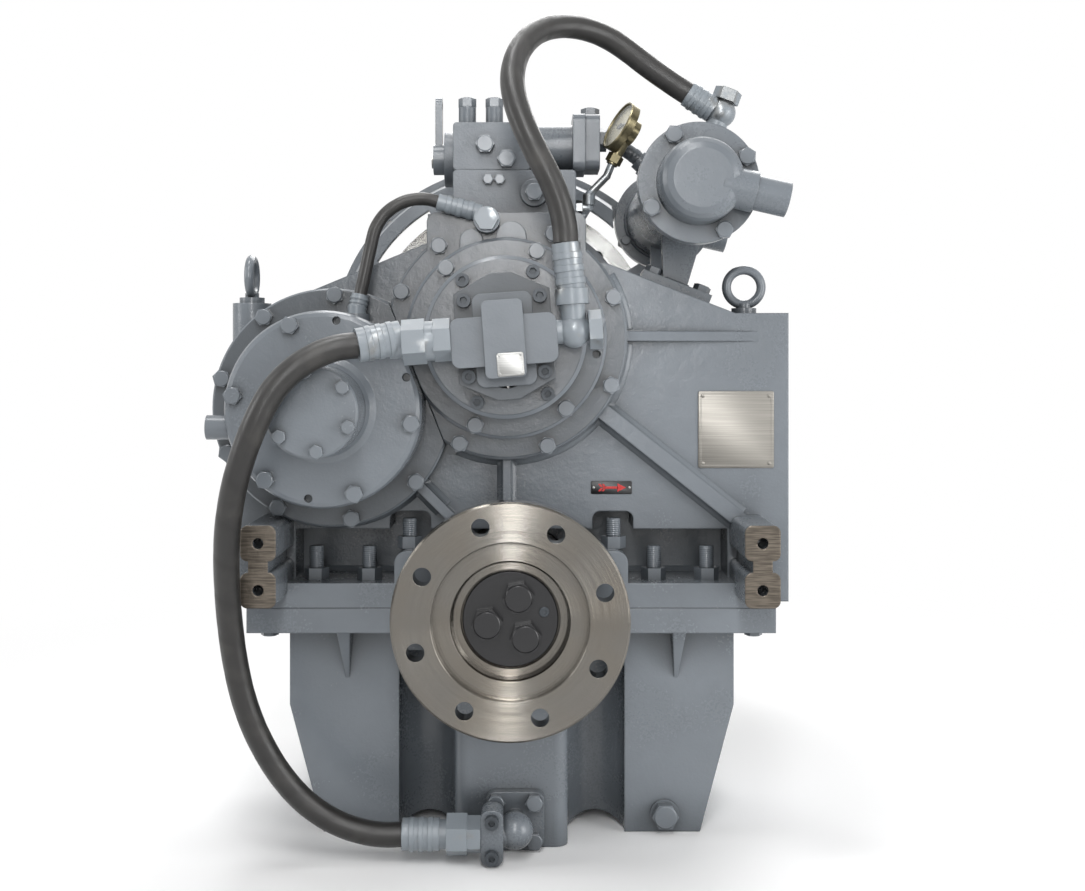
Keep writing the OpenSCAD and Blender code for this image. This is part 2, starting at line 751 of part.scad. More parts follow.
// Plan of the sump: two lobes, a centre column and a round channel at each side of it
module sump_plan() {
  difference() {
    union() {
      translate([-lower_half, lobe_y]) square([2 * lower_half, case_rear_y - lobe_y]);
      round_rect(-column_half, column_half, column_y, lobe_y + 40, 14);
    }
    for (x = [-1, 1]) translate([x * (column_half + channel_r), lobe_y + 5]) circle(channel_r);
  }
}

module lower_casing() {
  taper = 35;
  color(paint)
    difference() {
      union() {
        intersection() {
          translate([0, 0, base_z]) linear_extrude(-base_z) sump_plan();
          along_y(column_y - 10, case_rear_y + 1)
            polygon([
              [-lower_half + taper, base_z], [lower_half - taper, base_z], [lower_half, base_z * 0.45],
              [lower_half, 0],
              [-lower_half, 0], [-lower_half, base_z * 0.45]
            ]);
        }
        slab(-flange_half, flange_half, split_flange_y, case_rear_y, -split_flange_t, 0);
        along_y(split_flange_y, gear_bay_y) round_rect(-block_half, block_half, -block_drop, 20, 12);
        rod_y(rear_housing_r, rear_cup_y - 4, case_rear_y + 8);
        for (x = [-1, 1])
          translate([x * (block_half + 53), 0, -split_flange_t + 1]) intersection() {
            along_x(-8, 8) polygon([[lobe_y + 1, 0], [split_flange_y + 12, 0], [lobe_y + 1, -58]]);
            along_y(split_flange_y, lobe_y + 2) polygon([[-7, 0], [7, 0], [1.5, -60], [-1.5, -60]]);
          }
      }
      difference() {
        rod_y(gear_bay_r, gear_bay_y, rear_inner_y);
        rod_y(rear_housing_r, rear_cup_y - 4, case_rear_y);
      }
      slab(-lower_half * 0.6, lower_half * 0.6, gear_bay_y, rear_inner_y, base_z + case_wall, base_z * 0.6);
      output_bores();
      slab(-case_half, case_half, -50, case_rear_y + 50, 0, block_top + 50);
      for (x = [-1, 1])
        translate([x * (column_half + channel_r), 0, base_z + arch_rise - arch_r])
          rod_y(arch_r, column_y - 20, case_rear_y + 1);
      stud_holes(-stud_depth - 1, 1);
      under_bolt_holes(-split_flange_t - 1, 1);
      translate([drain_x, 0, drain_z]) rod_y(drain_r + bolt_room, lobe_y - 1, lobe_y + 22);
      elbow_bolts_at() bolt_hole(12 + 18);
    }
}

drain_x = 158;
drain_z = base_z + 19;
drain_r = 9;

module drain_plug() {
  color(zinc) translate([drain_x, lobe_y, drain_z]) {
    rod_y(15, -4, 0);
    hex_y(24, -15, -3);
    rod_y(drain_r, -1, 20);
  }
}

// Bell housing: a front wall on the casing, a windowed skirt and the engine flange
module bell_housing() {
  skirt_r0 = bell_od / 2 - 26;
  skirt_r1 = bell_od / 2 - 8;
  flange_y = engine_flange_y;
  color(paint)
    difference() {
      at_input()
        turned([
          [clutch_shaft_r + 4, case_rear_y], [skirt_r0, case_rear_y], [skirt_r1, flange_y],
          [bell_od / 2, flange_y],
          [bell_od / 2, bell_rear_y], [bell_bore_d / 2, bell_rear_y], [bell_bore_d / 2, flange_y - 4],
          [skirt_r0 - 11, case_rear_y + bell_wall], [clutch_shaft_r + 4, case_rear_y + bell_wall]
        ]);
      at_input() at_angles(bell_pcd / 2, [for (i = [0:11]) 15 + 30 * i])
        rod_y(bell_hole_d / 2, flange_y - 1, bell_rear_y + 1);
      bell_bolts_at() bolt_hole(bell_bolt_l);
      at_input() for (a = [45, 135]) window(a);
      translate([cooler_x, 0, cooler_z]) rod_y(cooler_flange_r + 5, case_rear_y - 1, relief_y);
      rod_y(rear_housing_r + 1, case_rear_y - 1, case_rear_y + 14);
    }
}

// An arc-shaped window in the bell housing's front wall
module window(a) {
  r1 = bell_od / 2 - 41;
  r0 = r1 - 34;
  intersection() {
    ring_y(r0, r1, case_rear_y - 1, case_rear_y + bell_wall + 1);
    rotate([0, -a, 0]) along_y(case_rear_y - 2, case_rear_y + bell_wall + 2)
      polygon([[0, 0], [bell_od, -bell_od * 0.24], [bell_od, bell_od * 0.24]]);
  }
}

// Flange, spigot and bearing seat of a clutch shaft's front cover
module cover_blank(r) {
  turned([
    [clutch_cup_r + seat_fit, cover_face_y], [r - 2, cover_face_y], [r, cover_face_y + 2], [r, cover_seat_y],
    [opening_r, cover_seat_y], [opening_r, cover_seat_y + 14], [clutch_cup_r + seat_fit, cover_seat_y + 14]
  ]);
}

module input_cover() {
  color(paint)
    difference() {
      union() {
        at_input() cover_blank(hump_r - 2);
        at_input() difference() {
          along_y(cover_face_y, cover_seat_y)
            round_rect(-pedestal_half, pedestal_half, hump_r * 0.4, pedestal_rise, 10);
          rod_y(opening_r + 6, cover_face_y - 1, cover_seat_y + 1);
        }
        passage_boss(-35, 98, 11.5);
        passage_boss(5, 102, 15);
      }
      at_input() beyond_meeting(meeting_angle, meet_d - gap);
      input_bolts_at() bolt_hole(cover_bolt_l);
      ring_bolts_at() bolt_hole(ring_t + 12);
      translate(banjo_seat) rod_y(bolt_r + bolt_room, -1, 13);
    }
}

// An oil passage cast on the cover's face, above the ring
module passage_boss(x, z, r) {
  at_input() difference() {
    along_y(cover_face_y - r * 0.7, cover_face_y + 1) union() {
      translate([x, z]) circle(r);
      translate([x - r, z - 30]) square([2 * r, 30]);
    }
    rod_y(ring_r + gap, cover_face_y - 40, cover_face_y);
  }
}

module input_bearing_ring() {
  color(paint)
    difference() {
      at_input()
        turned([
          [clutch_cup_r - 8, cover_face_y - ring_t], [ring_r - 3, cover_face_y - ring_t],
          [ring_r, cover_face_y - ring_t + 3],
          [ring_r, cover_face_y], [clutch_cup_r - 8, cover_face_y]
        ]);
      at_input() beyond_meeting(meeting_angle, meet_d - gap);
      ring_bolts_at() bolt_hole(ring_t);
      adapter_screws_at() screw_hole(adapter_t + 12);
      at_input() at_angles(ring_bolt_pcr, [-10, 170])
        rod_y(4, cover_face_y - ring_t - 1, cover_face_y - ring_t + 12);
    }
}

module pump_adapter() {
  y1 = cover_face_y - ring_t;
  color(paint)
    difference() {
      at_input()
        turned([
          [pump_shaft_r + 3, pump_back_y], [adapter_r - 4, pump_back_y], [adapter_r, pump_back_y + 4],
          [adapter_r, y1],
          [clutch_cup_r - 12, y1], [clutch_cup_r - 12, pump_back_y + 14], [pump_shaft_r + 3, pump_back_y + 14]
        ]);
      adapter_screws_at() screw_hole(adapter_t);
      pump_screws_at() screw_hole(pump_body_t + 12);
    }
}

// The pump body's outline: straight sides and a blunt point above and below
module pump_outline() {
  rise = pump_half - 3;
  apex = pump_half + 14;
  polygon([
    [-pump_half, -rise], [-10, -apex], [10, -apex], [pump_half, -rise], [pump_half, rise], [10, apex],
    [-10, apex],
    [-pump_half, rise]
  ]);
}

module pump_body() {
  chamber_y1 = pump_gear_y + pump_gear_l + gap;
  color(paint)
    difference() {
      pump_frame() union() {
        difference() {
          along_y(pump_face_y, pump_back_y) pump_outline();
          for (z = [0, -pump_pitch]) translate([0, 0, z])
            rod_y(pump_tip_r + run_fit * 2, pump_face_y - 1, chamber_y1);
        }
        translate([0, 0, -pump_pitch]) rod_y(idler_pin_r, pump_face_y, chamber_y1 + 1);
      }
      pump_frame() rod_y(pump_shaft_r + run_fit, pump_face_y, pump_back_y + 1);
      pump_screws_at() screw_hole(pump_body_t);
    }
}

// Port block and tower in front of the pump body
module pump_cover() {
  color(paint)
    pump_frame() union() {
      along_y(pump_front_y + 6, pump_face_y) round_rect(-port_block_half, port_block_half, -27, 18, 8);
      along_y(pump_front_y, pump_face_y) round_rect(-18.5, 18.5, -38, 32, 5);
      along_y(pump_face_y - 8, pump_face_y) round_rect(-27.5, 27.5, -46, 40, 8);
    }
}

module pump_gear(phase) {
  along_y(pump_gear_y, pump_gear_y + pump_gear_l) polygon(gear_points(pump_module, pump_teeth, phase));
}

module pump_drive_gear() {
  color(machined) pump_frame() union() {
    pump_gear(0);
    rod_y(pump_shaft_r, pump_gear_y + pump_gear_l - 1, pump_back_y + adapter_t + 18);
  }
}

module pump_idler_gear() {
  color(machined)
    pump_frame() translate([0, 0, -pump_pitch])
      difference() {
        pump_gear(mesh_phase(-90, pump_teeth, pump_teeth, 0));
        rod_y(idler_pin_r + run_fit, pump_face_y, pump_back_y);
      }
}

module reverse_cover() {
  color(paint)
    difference() {
      at_reverse() cover_blank(boss_r);
      at_reverse() beyond_meeting(meeting_angle + 180, transfer_d - meet_d - gap);
      reverse_bolts_at() bolt_hole(cover_bolt_l);
      disc_bolts_at() bolt_hole(disc_t + 12);
    }
}

module reverse_bearing_cover() {
  hollow_r = disc_bolt_pcr - 14;
  color(paint)
    difference() {
      union() {
        at_reverse()
          turned([
            [0, snout_y], [snout_r, snout_y], [snout_r, disc_face_y - 9], [snout_r + 3, disc_face_y - 3],
            [snout_r + 9, disc_face_y],
            [disc_r - 6, disc_face_y], [disc_r - 2, disc_face_y + 2], [disc_r, disc_face_y + 6],
            [disc_r, cover_face_y], [0, cover_face_y]
          ]);
        at_reverse() translate([0, disc_face_y + 22, -18]) rod_x(12, -disc_r - 20, -disc_r + 20);
        translate([clutch_port[0], clutch_port[1], 0])
          rod_z(port_boss_r, reverse_z + disc_r * 0.7, clutch_port[2]);
      }
      at_reverse() rod_y(hollow_r, disc_face_y + 12, cover_face_y + 1);
      at_reverse() rod_y(snout_r - 13, snout_y - 1, disc_face_y + 13);
      at_reverse() beyond_meeting(meeting_angle + 180, transfer_d - meet_d - gap);
      disc_bolts_at() bolt_hole(disc_t);
      cap_bolts_at() rod_y(cap_bolt_r + bolt_room, -1, cap_t + 21);
      at_reverse() at_angles(disc_bolt_pcr, [21, 81, 261]) rod_y(4, disc_face_y - 1, disc_face_y + 10);
    }
}

module reverse_end_cap() {
  color(paint)
    difference() {
      at_reverse()
        turned([
          [0, snout_y - cap_t], [snout_r - 2, snout_y - cap_t], [snout_r, snout_y - cap_t + 2],
          [snout_r, snout_y], [0, snout_y]
        ]);
      cap_bolts_at() rod_y(cap_bolt_r + bolt_room, -1, cap_t + 21);
    }
}

module hex_bolts() {
  color(zinc) {
    input_bolts_at() hex_bolt(cover_bolt_l);
    reverse_bolts_at() hex_bolt(cover_bolt_l);
    ring_bolts_at() hex_bolt(ring_t + 11);
    disc_bolts_at() hex_bolt(disc_t + 11);
    bell_bolts_at() hex_bolt(bell_bolt_l);
    for (x = [-under_bolt_x, under_bolt_x]) for (y = under_bolt_ys)
      translate([x, y, -split_flange_t]) rotate([90, 0, 0]) hex_bolt(split_flange_t + 18);
    translate([cooler_x, 0, cooler_z]) at_angles(cooler_bolt_pcr, cooler_bolt_angles) {
      translate([0, cooler_front_y, 0]) hex_bolt(2 * cooler_flange_t + 4);
      translate([0, cooler_rear_y, 0]) mirror([0, 1, 0]) hex_bolt(2 * cooler_flange_t + 4);
    }
    cooler_frame() foot_bolts_at() hex_bolt(foot_t + 13);
    elbow_bolts_at() hex_bolt(12 + 17);
  }
}

module cap_bolts() {
  color(zinc)
    cap_bolts_at() {
      hex_y(cap_bolt_af, -5.5, 0);
      rod_y(cap_bolt_r, -1, cap_t + 20);
    }
}

module socket_screws() {
  color(rubber) {
    adapter_screws_at() socket_screw(adapter_t + 11);
    pump_screws_at() socket_screw(pump_body_t + 11);
    for (z = elbow_screw_zs) translate([(elbow_block_x0 + elbow_block_x1) / 2, suction_port_y - 14, z])
      socket_screw(20);
  }
}

module casing_studs() {
  color(zinc) {
    for (x = stud_xs) translate([x, stud_y, 0]) stud_set(split_flange_t, 22);
    for (x = [-block_stud_x, block_stud_x]) translate([x, stud_y, 0]) stud_set(block_top, 18);
  }
}

// A stud in the lower casing with its nut on the upper one
module stud_set(z1, tail) {
  rod_z(stud_r, -stud_depth, z1 + nut_t + tail);
  hex_z(nut_af, z1, z1 + nut_t);
}

module output_seal() {
  color(black) ring_y(hub_r + run_fit, front_cup_r, seal_y, seal_y + seal_t);
}

module bearing_cups() {
  color(machined) {
    ring_y(front_cup_in, front_cup_r, front_cup_y, front_cup_y + front_cup_l);
    ring_y(rear_cup_in, rear_cup_r, rear_cup_y, rear_cup_y + rear_cup_l);
    for (y = [clutch_front_y, clutch_rear_y]) {
      at_input() ring_y(clutch_cup_in, clutch_cup_r, y, y + clutch_cup_l);
      at_reverse() ring_y(clutch_cup_in, clutch_cup_r, y, y + clutch_cup_l);
    }
  }
}

// A bearing's inner ring with its rollers standing on it
module cone(seat, ring, roller, count, y0, y1) {
  sunk = 0.3;
  ring_y(seat + seat_fit, seat + ring, y0, y1);
  at_angles(seat + ring + roller - sunk, [for (i = [0:count - 1]) i * 360 / count])
    rod_y(roller, y0 + 4, y1 - 4);
}

module clutch_cones() {
  for (y = [clutch_front_y, clutch_rear_y]) cone(clutch_shaft_r, cone_t, roller_r, 14, y, y + clutch_cup_l);
}

module output_bearing_cones() {
  color(machined) {
    cone(output_seat_r, front_cone_t, front_roller_r, 16, front_cup_y, front_cup_y + front_cup_l);
    cone(rear_seat_r, rear_cone_t, rear_roller_r, 18, rear_cup_y, rear_cup_y + rear_cup_l);
  }
}

module input_bearing_cones() { color(machined) at_input() clutch_cones(); }

module reverse_bearing_cones() { color(machined) at_reverse() clutch_cones(); }

gear_seat_r = output_seat_r + 5;

module output_shaft() {
  collar_r = gear_seat_r + 7;
  front_y = plate_seat_y + retainer_t + 1;
  color(machined)
    difference() {
      turned([
        [0, front_y], [output_nose_r, front_y], [output_nose_r, hub_end_y], [output_seat_r, hub_end_y],
        [output_seat_r, gear_y0 - 10],
        [gear_seat_r, gear_y0 - 10], [gear_seat_r, gear_y1], [collar_r, gear_y1],
        [collar_r, gear_y1 + 10], [rear_seat_r, gear_y1 + 10],
        [rear_seat_r, rear_cup_y + rear_cup_l], [0, rear_cup_y + rear_cup_l]
      ]);
      retainer_bolts_at() rod_y(retainer_bolt_r + bolt_room, -1, retainer_t + 41);
    }
}

module output_gear() {
  rim_in = output_root_r - 18;
  hub_out = gear_seat_r + 28;
  mid = (gear_y0 + gear_y1) / 2;
  hole_r = (rim_in - hub_out) * 0.28;
  color(machined)
    difference() {
      union() {
        along_y(gear_y0, gear_y1) difference() {
          polygon(gear_points(gear_module, output_teeth, 0));
          circle(rim_in);
        }
        ring_y(gear_seat_r + seat_fit, hub_out, gear_y0, gear_y1);
        ring_y(hub_out - 1, rim_in + 1, mid - 10, mid + 10);
      }
      at_angles((hub_out + rim_in) / 2, [for (i = [0:5]) 30 + 60 * i]) rod_y(hole_r, mid - 11, mid + 11);
    }
}

module output_flange() {
  rim_r = flange_d / 2;
  step_r = retainer_r + 11.5;
  y_plate = plate_seat_y + retainer_t;
  color(machined)
    difference() {
      turned([
        [output_nose_r + seat_fit, y_plate], [retainer_r + 2, y_plate], [retainer_r + 2, plate_seat_y],
        [step_r - 3, plate_seat_y],
        [step_r, plate_seat_y - 3], [step_r, spigot_depth], [spigot_d / 2, spigot_depth],
        [spigot_d / 2, 1], [spigot_d / 2 + 1, 0],
        [rim_r - 2, 0], [rim_r, 2], [rim_r, flange_t - 2], [rim_r - 2, flange_t], [hub_r + 8, flange_t],
        [hub_r + 2, flange_t + 2],
        [hub_r, flange_t + 8], [hub_r, hub_end_y], [output_nose_r + seat_fit, hub_end_y]
      ]);
      at_angles(flange_pcd / 2, [for (i = [0:7]) 17.5 + 45 * i]) rod_y(flange_hole_d / 2, -1, flange_t + 1);
    }
}

module retainer_plate() {
  color(black)
    difference() {
      turned([
        [0, plate_seat_y], [retainer_r - 1, plate_seat_y], [retainer_r, plate_seat_y + 1],
        [retainer_r, plate_seat_y + retainer_t],
        [0, plate_seat_y + retainer_t]
      ]);
      retainer_bolts_at() rod_y(retainer_bolt_r + bolt_room, -1, retainer_t + 1);
    }
}

module retainer_bolts() {
  color(black)
    retainer_bolts_at() {
      hex_y(27, -11, 0);
      rod_y(retainer_bolt_r, -1, retainer_t + 38);
    }
}

// Clutch stations
plates_y = drum_y0 + 8;
drum_in_r = transfer_root_r - 8;
drum_seat_r = clutch_shaft_r + 4;
drum_web_y = drum_y1 - drum_web_t;
pinion_hub_y = drum_web_y - 8;
release_gap = 0.5;

module input_shaft() {
  front_y = pump_back_y + adapter_t - 2;
  color(machined)
    at_input() difference() {
      turned([
        [0, front_y], [clutch_shaft_r - 8, front_y], [clutch_shaft_r - 8, clutch_front_y],
        [clutch_shaft_r, clutch_front_y],
        [clutch_shaft_r, drum_web_y - 1], [drum_seat_r, drum_web_y - 1], [drum_seat_r, drum_y1 + 1],
        [clutch_shaft_r, drum_y1 + 1],
        [clutch_shaft_r, clutch_rear_y + clutch_cup_l],
        [clutch_shaft_r - 2, clutch_rear_y + clutch_cup_l], [clutch_shaft_r - 2, bell_rear_y - 34],
        [0, bell_rear_y - 34]
      ]);
      rod_y(pump_shaft_r + run_fit, front_y - 1, front_y + 22);
    }
}

// A cup with the transfer gear's teeth round it
module drum(phase) {
  difference() {
    union() {
      along_y(drum_y0 + 4, drum_y0 + 4 + transfer_face)
        polygon(gear_points(transfer_module, transfer_teeth, phase));
      rod_y(transfer_root_r - 1, drum_y0, drum_y1);
    }
    rod_y(drum_in_r, drum_y0 - 1, drum_web_y);
    rod_y(drum_seat_r + seat_fit, drum_y0, drum_y1 + 1);
  }
}

module forward_drum() { color(machined) at_input() drum(0); }

module reverse_drum() {
  color(machined) at_reverse() drum(mesh_phase(meeting_angle, transfer_teeth, transfer_teeth, 0));
}

// A pinion with the hub that carries the friction plates
module pinion(phase) {
  difference() {
    union() {
      along_y(gear_y0, gear_y1) polygon(gear_points(gear_module, pinion_teeth, phase));
      rod_y(clutch_hub_r, gear_y1 - 1, pinion_hub_y);
    }
    rod_y(clutch_shaft_r + run_fit, gear_y0 - 1, pinion_hub_y + 1);
  }
}

module forward_pinion() {
  color(machined) at_input() pinion(mesh_phase(input_angle, pinion_teeth, output_teeth, 0));
}

module reverse_pinion() {
  color(machined) at_reverse() pinion(mesh_phase(reverse_angle, pinion_teeth, output_teeth, 0));
}

// Plates of one kind: each pair takes one pitch, the friction plate first
module friction_plates(pitch) {
  for (i = [0:plate_pairs - 1])
    translate([0, plates_y + i * pitch, 0]) ring_y(clutch_hub_r + run_fit, drum_in_r - 2, 0, plate_t);
}

module steel_plates(pitch) {
  for (i = [0:plate_pairs - 1])
    translate([0, plates_y + i * pitch + pitch / 2, 0])
      ring_y(clutch_hub_r + 2, drum_in_r - run_fit, 0, plate_t);
}

module forward_plates() {
  color(brass) at_input() {
    friction_plates(2 * plate_t);
    steel_plates(2 * plate_t);
  }
}

module reverse_steel_plates() { color(machined) at_reverse() steel_plates(2 * (plate_t + release_gap)); }

module reverse_friction_plates() { color(brass) at_reverse() friction_plates(2 * (plate_t + release_gap)); }

module reverse_shaft() {
  front_y = disc_face_y + 30;
  color(machined)
    at_reverse()
      turned([
        [0, front_y], [clutch_shaft_r - 8, front_y], [clutch_shaft_r - 8, clutch_front_y],
        [clutch_shaft_r, clutch_front_y],
        [clutch_shaft_r, drum_web_y - 1], [drum_seat_r, drum_web_y - 1], [drum_seat_r, drum_y1 + 1],
        [clutch_shaft_r, drum_y1 + 1],
        [clutch_shaft_r, clutch_rear_y + clutch_cup_l], [0, clutch_rear_y + clutch_cup_l]
      ]);
}

coupling_y1 = bell_rear_y - flywheel_depth;
coupling_ring_in = coupling_pcd / 2 - 14;
coupling_hub_r = 92;

// Flywheel ring, toothed inside to grip the rubber
module coupling_ring() {
  color(machined)
    at_input() difference() {
      ring_y(coupling_ring_in, coupling_od / 2, coupling_y1 - 12, coupling_y1);
      at_angles(coupling_pcd / 2, [for (i = [0:7]) 22.5 + 45 * i])
        rod_y(bell_hole_d / 2, coupling_y1 - 13, coupling_y1 + 1);
      at_angles(coupling_ring_in, lug_angles) rod_y(lug_r + seat_fit, coupling_y1 - 13, coupling_y1 + 1);
    }
}

lug_r = 7;
lug_angles = [for (i = [0:23]) 15 * i];

// Rubber disc bonded to the steel hub, with round lugs on its rim
module coupling_rubber() {
  color(rubber)
    at_input() union() {
      turned([
        [clutch_shaft_r - 2 + seat_fit, coupling_y1 - 52], [50, coupling_y1 - 52], [54, coupling_y1 - 30],
        [coupling_hub_r, coupling_y1 - 20],
        [coupling_ring_in - 1, coupling_y1 - 12], [coupling_ring_in - 1, coupling_y1],
        [coupling_hub_r, coupling_y1 - 4],
        [clutch_shaft_r - 2 + seat_fit, coupling_y1 - 4]
      ]);
      at_angles(coupling_ring_in, lug_angles) rod_y(lug_r, coupling_y1 - 12, coupling_y1);
    }
}

module valve_base() {
  color(paint) union() {
    along_y(valve_front_y, valve_front_y + valve_depth)
      round_rect(valve_x0, valve_base_x1, valve_z0, valve_z1, 4);
    translate([input_x + 28, 0, valve_z0 + 22]) rod_y(14, valve_front_y - 8, valve_front_y + 1);
  }
}

module valve_body() {
  color(paint)
    difference() {
      union() {
        along_y(valve_front_y + 2, valve_front_y + valve_depth - 2)
          round_rect(valve_x0, valve_body_x1, valve_z1, valve_z2, 4);
        for (x = plug_columns) translate([valve_x0 + x, valve_front_y + 20, 0])
          rod_z(9, valve_z1 + 4, valve_z2 + 18);
        translate([0, valve_mid_y, lever_z]) rod_x(29 - gap, valve_x0 - side_plate_t, valve_x0 + 1);
      }
      translate([0, valve_mid_y, lever_z])
        rod_x(spool_r + run_fit, valve_x0 - side_plate_t - 1, valve_body_x1 - 10);
      slab(valve_x0, valve_x0 + 2, valve_front_y, valve_front_y + valve_depth, valve_z0 - 30, valve_z1);
    }
}

module pressure_regulator() {
  color(paint)
    translate([0, valve_mid_y, regulator_z]) union() {
      rod_x(regulator_r, valve_body_x1, regulator_x1 + 1);
      rod_x(regulator_r - 3, valve_body_x1, valve_body_x1 + 8);
      along_x(regulator_x1, regulator_x1 + 13) round_rect(-33, 33, -26, 33, 9);
      along_x(regulator_x1 + 12, end_plate_x1) round_rect(-29, 29, -24, 33, 9);
    }
}

module valve_plugs() {
  color(zinc) {
    for (x = plug_columns) translate([valve_x0 + x, valve_front_y + 20, 0])
      hex_z(16, valve_z2 + 18, valve_z2 + 27);
    translate([valve_x0 + 33, 0, valve_z1 + 26]) hex_y(17, valve_front_y - 8, valve_front_y + 2);
    translate([valve_x0 + 55, 0, valve_z1 + 11]) hex_y(17, valve_front_y - 8, valve_front_y + 2);
    for (x = [36, 48]) translate([valve_x0 + x, 0, valve_z0 + 36])
      hex_y(10, valve_front_y - 6, valve_front_y);
    translate([input_x + 28, 0, valve_z0 + 22]) hex_y(17, valve_front_y - 16, valve_front_y - 8);
    translate([input_x + 56, 0, valve_z0 + 16]) hex_y(16, valve_front_y - 9, valve_front_y);
    translate([end_plate_x1 - 9, valve_mid_y, 0]) hex_z(17, regulator_z + 33, regulator_z + 42);
  }
}

module control_shaft() {
  color(machined) translate([0, valve_mid_y, lever_z]) rod_x(spool_r, lever_x - 2, valve_body_x1 - 11);
}

module control_lever() {
  color(zinc)
    translate([0, valve_mid_y, lever_z]) difference() {
      union() {
        rod_x(16, lever_x, lever_x + 11.5);
        along_x(lever_x + 2, lever_x + 2 + lever_t) union() {
          translate([-9, 0]) square([18, lever_l]);
          translate([0, lever_l]) circle(9);
        }
      }
      rod_x(spool_r + seat_fit, lever_x - 1, lever_x + 13);
      translate([0, 0, lever_l]) rod_x(4.2, lever_x - 1, lever_x + 13);
    }
}

// Shell with its end flanges, port bosses and welded feet
module cooler_shell() {
  y0 = cooler_front_y + cooler_flange_t;
  y1 = cooler_rear_y - cooler_flange_t;
  color(paint)
    difference() {
      union() {
        translate([cooler_x, 0, cooler_z]) {
          rod_y(shell_r, y0, y1);
          rod_y(cooler_flange_r, y0, y0 + cooler_flange_t);
          rod_y(cooler_flange_r, y1 - cooler_flange_t, y1);
          port_boss(pressure_port_angle, pressure_port_y, 66);
          port_boss(return_port_angle, return_port_y, 56);
        }
        cooler_frame() for (y = cooler_feet_y) {
          slab(foot_shift - 38, foot_shift + 38, y - 18, y + 18, -cooler_lift, -cooler_lift + foot_t);
          along_y(y - 5, y + 5)
            polygon([
              [-shell_r * 0.3, -shell_r * 0.7], [shell_r * 0.7, -shell_r * 0.5],
              [foot_shift + 12, 1 - cooler_lift],
              [foot_shift - 12, 1 - cooler_lift]
            ]);
        }
      }
      translate([cooler_x, 0, cooler_z]) rod_y(shell_r - 5, y0 - 1, y1 + 1);
      cooler_bolt_holes(y0 - 1, y1 + 1);
      cooler_frame() foot_bolts_at() bolt_hole(foot_t);
    }
}

module port_boss(angle, y, reach) {
  rotate([0, -angle, 0]) translate([0, y, 0]) rod_x(port_boss_r, shell_r - 6, reach);
}

module cooler_bolt_holes(y0, y1) {
  translate([cooler_x, 0, cooler_z]) at_angles(cooler_bolt_pcr, cooler_bolt_angles)
    rod_y(bolt_r + bolt_room, y0, y1);
}

// A domed end cap with its water stub, open through to the cap's hollow
module cooler_cap(y, out) {
  dome_y = y + out * cooler_dome_t;
  flange_y = y - out * cooler_flange_t;
  stub_y = y + out * (stub_r + 2);
  difference() {
    translate([cooler_x, 0, cooler_z]) difference() {
      union() {
        turned([
          [0, dome_y], [shell_r - 17, dome_y], [shell_r - 11, dome_y - out * 2],
          [shell_r - 7, dome_y - out * 6],
          [shell_r - 5, dome_y - out * 12], [shell_r - 4, y], [cooler_flange_r, y],
          [cooler_flange_r, flange_y], [0, flange_y]
        ]);
        rotate([0, -stub_angle, 0]) translate([0, stub_y, 0]) {
          rod_x(stub_r + 2.5, 20, shell_r + 7);
          rod_x(stub_r, shell_r, stub_l);
        }
      }
      turned([
        [0, flange_y - out], [shell_r - 12, flange_y - out],
        [shell_r - 12, dome_y - out * 14], [0, dome_y - out * 8]
      ]);
      rotate([0, -stub_angle, 0]) translate([0, stub_y, 0]) rod_x(stub_r - 4, 10, stub_l + 1);
    }
    cooler_bolt_holes(min(y, flange_y) - 1, max(y, flange_y) + 1);
  }
}

module cooler_front_cap() { color(paint) cooler_cap(cooler_front_y, -1); }

module cooler_rear_cap() { color(paint) cooler_cap(cooler_rear_y, 1); }

// One eye bolt on its seat, its ring in the XZ plane
module eye_bolt() {
  ring_mid = eye_collar_t + eye_r - 1;
  rod_z(eye_collar_r, 0, eye_collar_t);
  rod_z(eye_shank_r, -20, 1);
  rod_z(eye_bar * 1.5, eye_collar_t - 1, eye_collar_t + eye_bar);
  translate([0, 0, ring_mid]) rotate([90, 0, 0]) rotate_extrude() translate([eye_r - eye_bar, 0])
    circle(eye_bar);
}

module eye_bolts() {
  color(zinc) {
    translate(left_eye) rotate([0, 0, 90]) eye_bolt();
    translate(right_eye) eye_bolt();
  }
}

elbow_screw_zs = [suction_port_z - 17, suction_port_z + 17];

module elbow_bolts_at() {
  for (z = [-19, 19]) for (x = [-19, 19]) translate([elbow_x + x, column_y - 12, elbow_z + z]) children();
}

// Flanged elbow that takes the suction hose into the sump's column
module suction_elbow() {
  mid_x = (elbow_block_x0 + elbow_block_x1) / 2;
  color(paint)
    difference() {
      union() {
        along_y(column_y - 12, column_y)
          round_rect(elbow_x - 29, elbow_x + 29, elbow_z - 29, elbow_z + 29, 10);
        translate([elbow_x, 0, elbow_z]) rod_y(elbow_r - 8, suction_port_y + 2, column_y - 11);
        translate([elbow_x, suction_port_y + 4, elbow_z]) sphere(elbow_r - 2);
        translate([0, suction_port_y, suction_port_z]) rod_x(12, elbow_block_x1 - 2, elbow_x);
        along_y(suction_port_y - 14, suction_port_y + 14)
          round_rect(elbow_block_x0, elbow_block_x1, suction_port_z - 27, suction_port_z + 27, 9);
      }
      elbow_bolts_at() bolt_hole(12);
      for (z = elbow_screw_zs) translate([mid_x, suction_port_y - 14, z]) screw_hole(21);
    }
}

module suction_hose() { color(rubber) hose(suction_route, suction_r); }

// Ferrule that a hose runs into, from the route's end back along its heading
module ferrule(route, at_start, r, l) {
  last = len(route) - 1;
  p = at_start ? route[0] : route[last];
  d = at_start ? route[0] - route[1] : route[last] - route[last - 1];
  aim(p, d) {
    cylinder(r = r, h = l);
    for (i = [0:2]) translate([0, 0, l * (0.2 + 0.25 * i)]) cylinder(r = r + 0.8, h = l * 0.12);
  }
}

